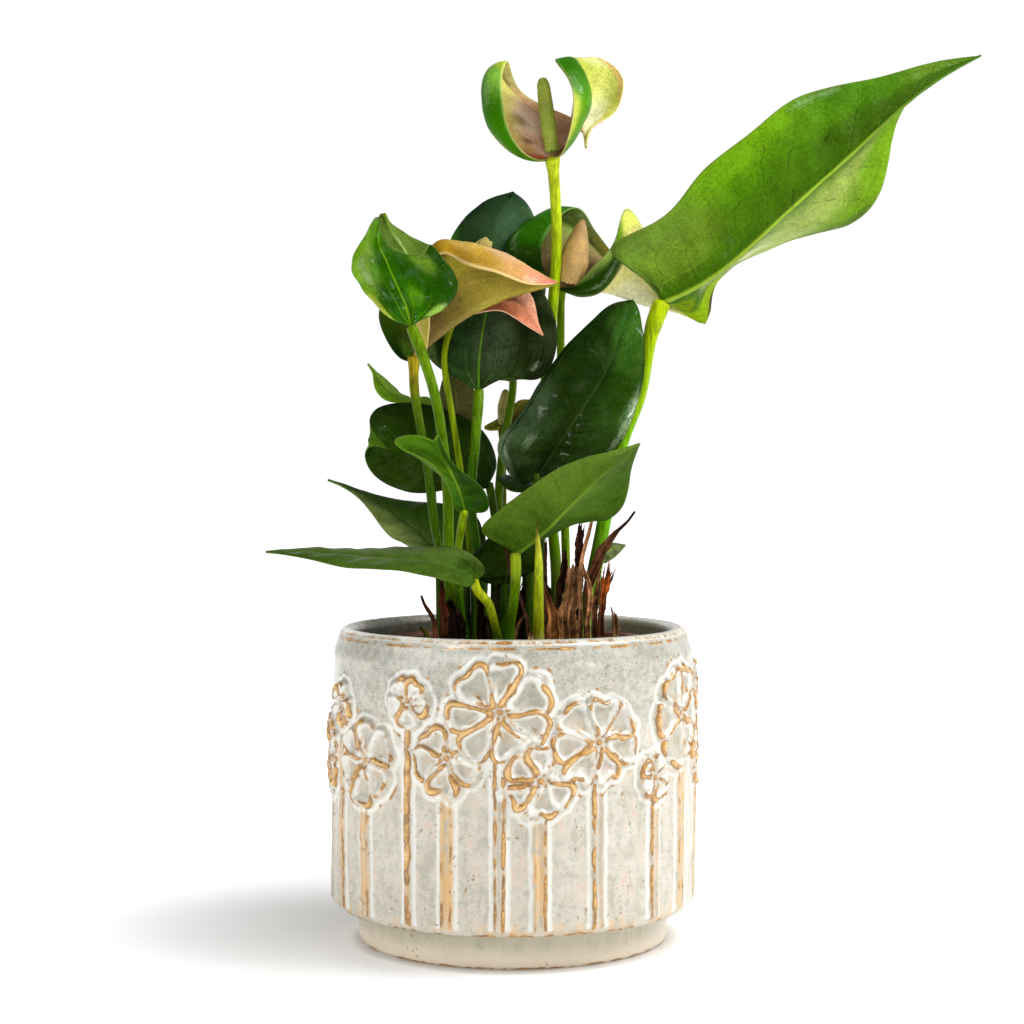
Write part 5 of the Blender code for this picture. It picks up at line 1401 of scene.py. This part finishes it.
places = np.linspace(0, 1, 60)
spine = [(10, -32, GROUND - 3), (10, -33, GROUND + 4), (10, -36, 140), (10, -41, 156), (9, -48, 170)]
spine = smooth_curve(spine, places)
girth = np.interp(places, (0, 0.1, 0.35, 0.7, 0.9, 1), (2.7, 2.4, 2.1, 1.6, 0.8, 0.2))
angle = np.linspace(0, 2 * math.pi, 28, endpoint=False)
lap = (angle[None] - 4.2 - 0.9 * places[:, None]) % (2 * math.pi)
girth = girth[:, None] * (1 + 0.12 * np.exp(-lap * 3) - 0.06 * np.exp(-(2 * math.pi - lap) * 6))
tones = [
    (206, 200, 120), (140, 150, 20), (168, 182, 20), (160, 180, 20), (190, 204, 44), (180, 180, 50),
    (44, 26, 6),
]
shoot = tube("new_shoot_grown", spine, girth, stalk_skin(), sides=28, tint=mixed(tones, places**1.15))
seat(shoot, "stalk_pale", "new_shoot")


# The dried bracts ------------------------------------------------------------------------------------
# Papery sheaths of old leaves and flowers stand round the crown, split along their fibres, torn at the
# top and curled back at their edges. Thin threads and stubs of them lie between.


def bract_skin():
    """Dry papery brown, fibrous and cracked lengthwise, with pale patches of painted highlight."""
    made, shader, place = finish_named("bract_skin", roughness=0.8, specular_ior_level=0.08)
    tint = attribute(place, "tint", "Color")
    across, along = attribute(place, "across"), attribute(place, "along")
    strip = place.node("ShaderNodeCombineXYZ", {0: across, 1: along})
    fibre = strip.noise(0.55, detail=4, stretch=(1, 0.06, 1))
    cloud = place.noise(4, detail=4, Roughness=0.7)
    crack = strip.noise(1.1, detail=2, stretch=(1, 0.12, 1)).step(0.58, 0.70)
    strength = ((fibre - 0.5) * 1.9 + (cloud - 0.5) * 3.4 + 0.92).maths("MAXIMUM", 0.12)
    # Painted highlights: pale tan patches in cloudy noise.
    pale = (fibre * 0.35 + cloud * 0.65).step(0.56, 0.70) * 0.35
    highlight_patched = pale.blend(tint.scaled(strength), linear(190, 144, 98))
    cracked = (crack * 0.55).blend(highlight_patched, linear(26, 12, 4))
    feed(shader, base_color=cracked, normal=place.bump(fibre * 0.4 + cloud * 0.5 - crack * 0.4))
    return made


BRACT_ROWS, BRACT_COLUMNS = 50, 17
BRACT_THICKNESS = 0.36


def make_bract(name, root, route, widths, curl, tones, finish, torn=0.0):
    """A dried strip that stands on the soil: folded and curled along its fibres, ragged at its edges and torn
    into teeth at its top."""
    seed = seed_of(name)
    draw = np.random.default_rng(seed)
    places, u = np.linspace(0, 1, BRACT_ROWS), np.linspace(-1, 1, BRACT_COLUMNS)
    fine = np.linspace(0, 1, 200)
    line = smooth_curve([(*root, GROUND - 2), *route], fine)
    length = np.linalg.norm(np.diff(line, axis=0), axis=1).sum()
    heading = unit(np.gradient(line, axis=0))
    side = unit(np.cross((0, 1, 0), heading))
    front = np.cross(side, heading)
    half = np.interp(fine, np.linspace(0, 1, len(widths)), widths) / 2
    teeth = np.interp(u, np.linspace(-1, 1, 8), draw.permutation(np.linspace(0, 1, 8)))
    reached = places[:, None] * (1 - torn * teeth * places[:, None] ** 3)
    at, aside, ahead = (
        np.stack([np.interp(reached, fine, way[:, axis]) for axis in range(3)], axis=-1)
        for way in (line, side, front)
    )
    wide = np.interp(reached, fine, half)
    ragged = 0.10 * drift(at, 2.2, seed + 1) + 0.16 * np.sign(u) * drift(at, 6, seed)
    edge = 1 + ragged * np.abs(u) ** 2
    folds = 0.8 + 0.16 * wide
    fold = np.abs((u * folds + draw.uniform(0, 1) + 0.2 * drift(at, 14, seed + 2)) % 1 - 0.5) * 2
    broad = step(0.5, 1.4, wide)
    depth = curl * np.abs(u) ** 1.8 + fold * 0.30 * wide * broad + 0.12 * drift(at, 3, seed + 3)
    spots = at + aside * (wide * u * edge)[..., None] + ahead * depth[..., None]
    # Painted light and shade: each fold is lighter on its ridge, which stands out towards the front, and
    # darker in its valley.
    tint = mixed(tones, places)[:, None] * (0.72 + 0.5 * fold * broad)[..., None]
    tint = np.clip(tint * (1 + 0.2 * drift(spots, 5, seed + 5)[..., None]), 0.002, 1).reshape(-1, 3)
    normal = unit(np.cross(np.gradient(spots, axis=1), np.gradient(spots, axis=0)))
    points = np.concatenate([
        (spots + side * BRACT_THICKNESS / 2 * normal).reshape(-1, 3) for side in (1, -1)
    ])
    faces, count = sheet(BRACT_ROWS, BRACT_COLUMNS), BRACT_ROWS * BRACT_COLUMNS
    for first in (0, count - BRACT_COLUMNS):
        ends = range(first, first + BRACT_COLUMNS - 1)
        faces += [(i, i + 1, count + i + 1, count + i) for i in ends]
    fields = {
        "tint": np.tile(tint, (2, 1)),
        "across": np.tile((wide * u).ravel(), 2) * MM + seed % 7 * 0.05,
        "along": np.tile((reached * length).ravel(), 2) * MM,
    }
    return add_mesh(name + "_dried", points, faces, finish, **fields)


# The place on the soil, the route, the widths from root to tip, the curl, the tones and how far the top is
# torn
BRACTS = {
    "bract_thin": ((14, -14), [(13, -14, 136), (13, -13, 150), (13, -12, 163)], (2.4, 1.6, 1.4, 1.2), 0.3,
        [(100, 66, 40), (130, 88, 56), (110, 76, 50), (60, 36, 22)], 0.1),
    "bract_shoot": ((15, -20), [(16, -20, 130), (15, -19, 136), (13, -18, 143)], (6.5, 5.4, 3.4, 0.8), 1.2,
        [(110, 64, 30), (170, 112, 60), (160, 104, 56), (90, 50, 20)], 0.1),
    "bract_broad": ((22, -17), [(22, -17, 132), (23, -16, 140), (24, -15, 147), (24, -14, 153)],
        (12.5, 9, 7, 5.2, 4.4), 1.6, [(90, 56, 28), (132, 92, 54), (140, 100, 62), (110, 74, 44),
        (130, 92, 58)], 0.10),
    "bract_curled": ((20, -8), [(19, -8, 140), (20, -8, 146), (21, -8, 153), (21, -8, 158), (22, -8, 162)],
        (4, 3.6, 3.4, 3.2, 2.6, 1.0), 0.8, [(30, 14, 6), (56, 30, 12), (46, 24, 10), (70, 40, 22)], 0.3),
    "bract_dark": ((27, 3), [(27, 2, 141), (27, 2, 156), (28, 0, 170)], (3, 3.4, 3.6, 2.6), 0.8,
        [(50, 26, 12), (76, 42, 24), (84, 48, 30), (64, 36, 20)], 0.1),
    "bract_tan": ((27, -17), [(27, -17, 132), (27, -16, 140), (27, -15, 148), (28, -14, 156), (30, -12, 163),
        (32, -10, 171)], (2.2, 1.8, 1.6, 1.6, 1.5, 1.4, 1.0), 0.3, [(110, 70, 40), (150, 104, 66),
        (196, 142, 96), (190, 136, 92), (176, 120, 80)]),
    "bract_long": ((29, -14), [(30, -13, 136), (31, -12, 146), (34, -12, 153), (38, -12, 161), (42, -13, 166),
        (46, -14, 170), (49, -15, 174)], (1.6, 1.4, 1.8, 3.4, 4.4, 3.6, 1.0, 0.5), 0.9, [(60, 30, 12),
        (70, 34, 14), (84, 44, 22), (92, 54, 32), (100, 64, 40), (30, 14, 6)]),
    "bract_red": ((36, -6), [(36, -6, 133), (37, -6, 141), (38, -6, 148), (39, -6, 154)],
        (2.6, 2.2, 2.6, 3.6, 1.4), 0.6, [(50, 24, 10), (90, 50, 26), (110, 60, 28), (180, 88, 28),
        (150, 74, 26)], 0.22),
    "bract_stub": ((42, 6), [(42, 6, 129), (41, 6, 135)], (2.6, 2.4, 2.2), 0.5, [(150, 108, 66),
        (160, 118, 76), (120, 84, 50)], 0.45),
    "bract_left": ((-21, -26), [(-23, -26, 133), (-26, -26, 140)], (9, 7, 1.2), 1.4, [(40, 20, 8),
        (36, 16, 6), (24, 10, 4)], 0.1),
    "bract_twig": ((-31, -12), [(-32, -12, 130), (-35, -12, 135), (-37, -13, 140)], (3.4, 2.2, 1.5, 0.6), 0.3,
        [(140, 92, 60), (150, 96, 62), (120, 72, 44), (90, 46, 24)]),
}
# Sheaths, threads and scraps in the same terms, which have no solids of their own
LOOSE_BRACTS = {
    # Painted shade: the four dark sheaths deep in the crown stand for old sheaths and also for the crown's
    # shade, in near-black brown.
    "sheath_dark_low": ((-14, -6), [(-14, -6, 130), (-14, -5, 138), (-13, -5, 145)], (9, 8, 5, 1), 1.2,
        [(34, 20, 6), (44, 30, 8), (40, 34, 10), (30, 26, 6)], 0.2),
    "sheath_dark_left": ((-5, -2), [(-5, -2, 130), (-5, -1, 140), (-4, 0, 149)], (10, 9, 6, 1), 1.4,
        [(30, 18, 6), (40, 30, 8), (44, 40, 10), (30, 26, 6)], 0.2),
    "sheath_dark_middle": ((4, -4), [(4, -4, 130), (4, -4, 138), (5, -4, 146)], (9, 8, 6, 1.5), 1.2,
        [(34, 18, 6), (46, 28, 10), (44, 34, 10), (30, 20, 6)], 0.2),
    "sheath_dark_right": ((13, 0), [(13, 0, 130), (13, 0, 140), (12, 0, 150)], (9, 9, 6, 1.5), 1.2,
        [(36, 20, 8), (52, 30, 12), (50, 34, 12), (34, 20, 8)], 0.25),
    "sheath_left": ((-27, -25), [(-27, -25, 133), (-28, -26, 140), (-28, -26, 147)], (4.4, 4.6, 3.4, 0.7),
        0.8, [(70, 34, 14), (120, 66, 40), (110, 58, 34), (60, 28, 12)]),
    "bract_forked": ((30, -17), [(30, -17, 130), (31, -17, 140), (30, -17, 146), (28, -17, 151)],
        (2.6, 2.2, 2.0, 2.0, 1.4), 0.4, [(120, 80, 46), (170, 118, 74), (184, 130, 84), (170, 116, 72)]),
    "bract_stick": ((33, -10), [(33, -10, 134), (34, -10, 141), (35, -10, 148), (36, -10, 152)],
        (2.0, 2.2, 2.2, 2.0, 1.2), 0.4, [(70, 40, 20), (110, 70, 40), (120, 76, 46)], 0.2),
    "bract_shard": ((35, -3), [(36, -3, 134), (38, -2, 142), (42, -2, 151)], (1.6, 1.6, 1.8, 1.0), 0.3,
        [(110, 74, 44), (150, 106, 68), (160, 114, 74)], 0.2),
    "thread_brown": ((6, -23), [(6, -23, 128), (4, -23, 136), (2, -23, 142), (-1, -23, 150), (-3, -23, 161)],
        (1.6, 1.4, 1.1, 1.0, 1.1, 0.6), 0.2, [(70, 40, 24), (110, 70, 50), (90, 50, 34), (60, 28, 18)]),
    "thread_arched": ((1, -23), [(1, -23, 125), (2, -23, 129), (5, -23, 133)], (1.4, 1.2, 1.1, 0.7), 0.2,
        [(120, 80, 50), (150, 104, 70)]),
    "shred_right": ((33, -6), [(33, -6, 128), (34, -6, 134)], (2.6, 2.2, 1.0), 0.4, [(90, 50, 22),
        (130, 78, 40)], 0.3),
    "husk_left": ((7, -36), [(7, -36, 124), (7, -35, 128)], (3.0, 2.2, 1.0), 0.6, [(170, 124, 76),
        (214, 176, 124), (120, 80, 40)], 0.3),
    "husk_right": ((14, -34), [(14, -35, 123), (15, -35, 125)], (4.0, 3.0, 1.4), 0.6, [(160, 112, 64),
        (206, 160, 104)], 0.3),
}
papery = bract_skin()
for name, (root, route, widths, curl, tones, *torn) in {**BRACTS, **LOOSE_BRACTS}.items():
    bract = make_bract(name, root, route, widths, curl, tones, papery, *torn)
    seat(bract, "dry_bract", *([name] if name in BRACTS else []))

places = np.linspace(0, 1, 12)
line = smooth_curve([(-31, -20, GROUND - 1), (-34, -20, 124), (-37, -20, 128)], places)
tint = mixed([(70, 80, 8), (90, 96, 16), (60, 60, 20)], places)
seat(tube("stub_green", line, np.linspace(1.0, 0.8, 12), skin, tint=tint), "stalk")


# The studio ------------------------------------------------------------------------------------------
# A white floor that runs back into a white room, one large soft light high on the right and weak ones that
# open up the shadows. The floor has a light of its own and glows, painted light that washes out its shadows
# except in a soft pool beside the planter and a thin ring round its foot, where the glow is taken down.
# The room is plain white where it is seen directly, and is dimmer above and on the left as it lights things.

bpy.ops.mesh.primitive_plane_add(size=12, location=(0, 0, 0))
floor = bpy.context.object
floor.name = "studio_floor"
floor_finish, floor_shader, spot = finish_named(
    "studio_floor", roughness=0.9, specular_ior_level=0.0, emission_strength=1.0
)
# Painted light and shadow: the glow is taken down in a soft pool to the left of the planter and in a thin
# ring round its foot, so that cast and contact shadows show there and are washed out elsewhere.
beside = spot.node("ShaderNodeMapping", {0: spot, 1: (0.26, -0.13, 0), 3: (4.76, 4.35, 1)})
pool = beside.length().step(0, 1) * 0.83 + 0.17
glow = pool.maths("MINIMUM", spot.length().step(0.0635, 0.078) * 0.9 + 0.1)
feed(
    floor_shader,
    emission_color=glow.blend((0.0, 0.0, 0.0), (1.0, 1.0, 1.0)),
    base_color=spot.noise(400).blend(linear(236, 236, 235), linear(238, 238, 237)),
)
floor.data.materials.append(floor_finish)

room = bpy.data.worlds.new("studio_room")
room.use_nodes = True
backdrop = room.node_tree.nodes["Background"]
bearing = Field(room.node_tree.nodes.new("ShaderNodeTexCoord").outputs["Generated"])
white = (1.03, 1.03, 1.03)
shade = bearing.axis(2).step(0.16, 0.55).blend(white, (0.16, 0.165, 0.17))
dimmed = shade.scaled(bearing.axis(0).step(-0.95, -0.30) * 0.65 + 0.35)
direct = Field(room.node_tree.nodes.new("ShaderNodeLightPath").outputs["Is Camera Ray"])
seen = direct.blend(dimmed, white)
room.node_tree.links.new(seen.socket, backdrop.inputs["Color"])
bpy.context.scene.world = room


def soft_light(name, place, aim, size, watts, gloss_alone=False, lit=None, unlit=None):
    """A round lamp. It lights everything, one piece alone, or everything but one piece."""
    lamp = bpy.data.lights.new(name, "AREA")
    lamp.shape = "DISK"
    lamp.size = size
    lamp.energy = watts
    light = bpy.data.objects.new(name, lamp)
    light.location = place
    light.rotation_euler = (Vector(aim) - Vector(place)).to_track_quat("-Z", "Y").to_euler()
    light.visible_diffuse = not gloss_alone
    bpy.context.scene.collection.objects.link(light)
    if lit or unlit:
        chosen = bpy.data.collections.new(name + "_pieces")
        chosen.objects.link(lit or unlit)
        chosen.collection_objects[0].light_linking.link_state = "INCLUDE" if lit else "EXCLUDE"
        light.light_linking.receiver_collection = chosen


planter = bpy.data.objects["planter_glazed"]
soft_light("key_light", (0.85, -0.35, 1.15), (0, 0, 0.17), 0.5, 17, unlit=floor)
soft_light("floor_light", (0.9, -0.1, 0.9), (0, 0, 0), 0.9, 8.5, lit=floor)
soft_light("planter_light", (-1.1, -0.5, 0.35), (0, 0, 0.06), 0.6, 5.0, lit=planter)
soft_light("gleam_left", (-0.8, -0.9, 0.9), (0, 0, 0.22), 0.25, 4, gloss_alone=True)
soft_light("gleam_right", (0.9, -0.8, 0.35), (0, 0, 0.22), 0.2, 2.5, gloss_alone=True)
soft_light("front_light", (-0.5, -1.5, 0.9), (0, 0, 0.15), 0.7, 1.5)
soft_light("back_light", (-0.5, 1.3, 0.9), (0, 0, 0.2), 0.9, 3)

camera_data = bpy.data.cameras.new("camera")
camera_data.lens = 74.5
camera_data.sensor_width = 36
camera = bpy.data.objects.new("camera", camera_data)
camera.location = (-0.0004, -0.866, 0.1975)
camera.rotation_euler = (math.radians(90 - 1.6), 0, 0)
bpy.context.scene.collection.objects.link(camera)
bpy.context.scene.camera = camera
bpy.context.scene.view_settings.view_transform = "Standard"
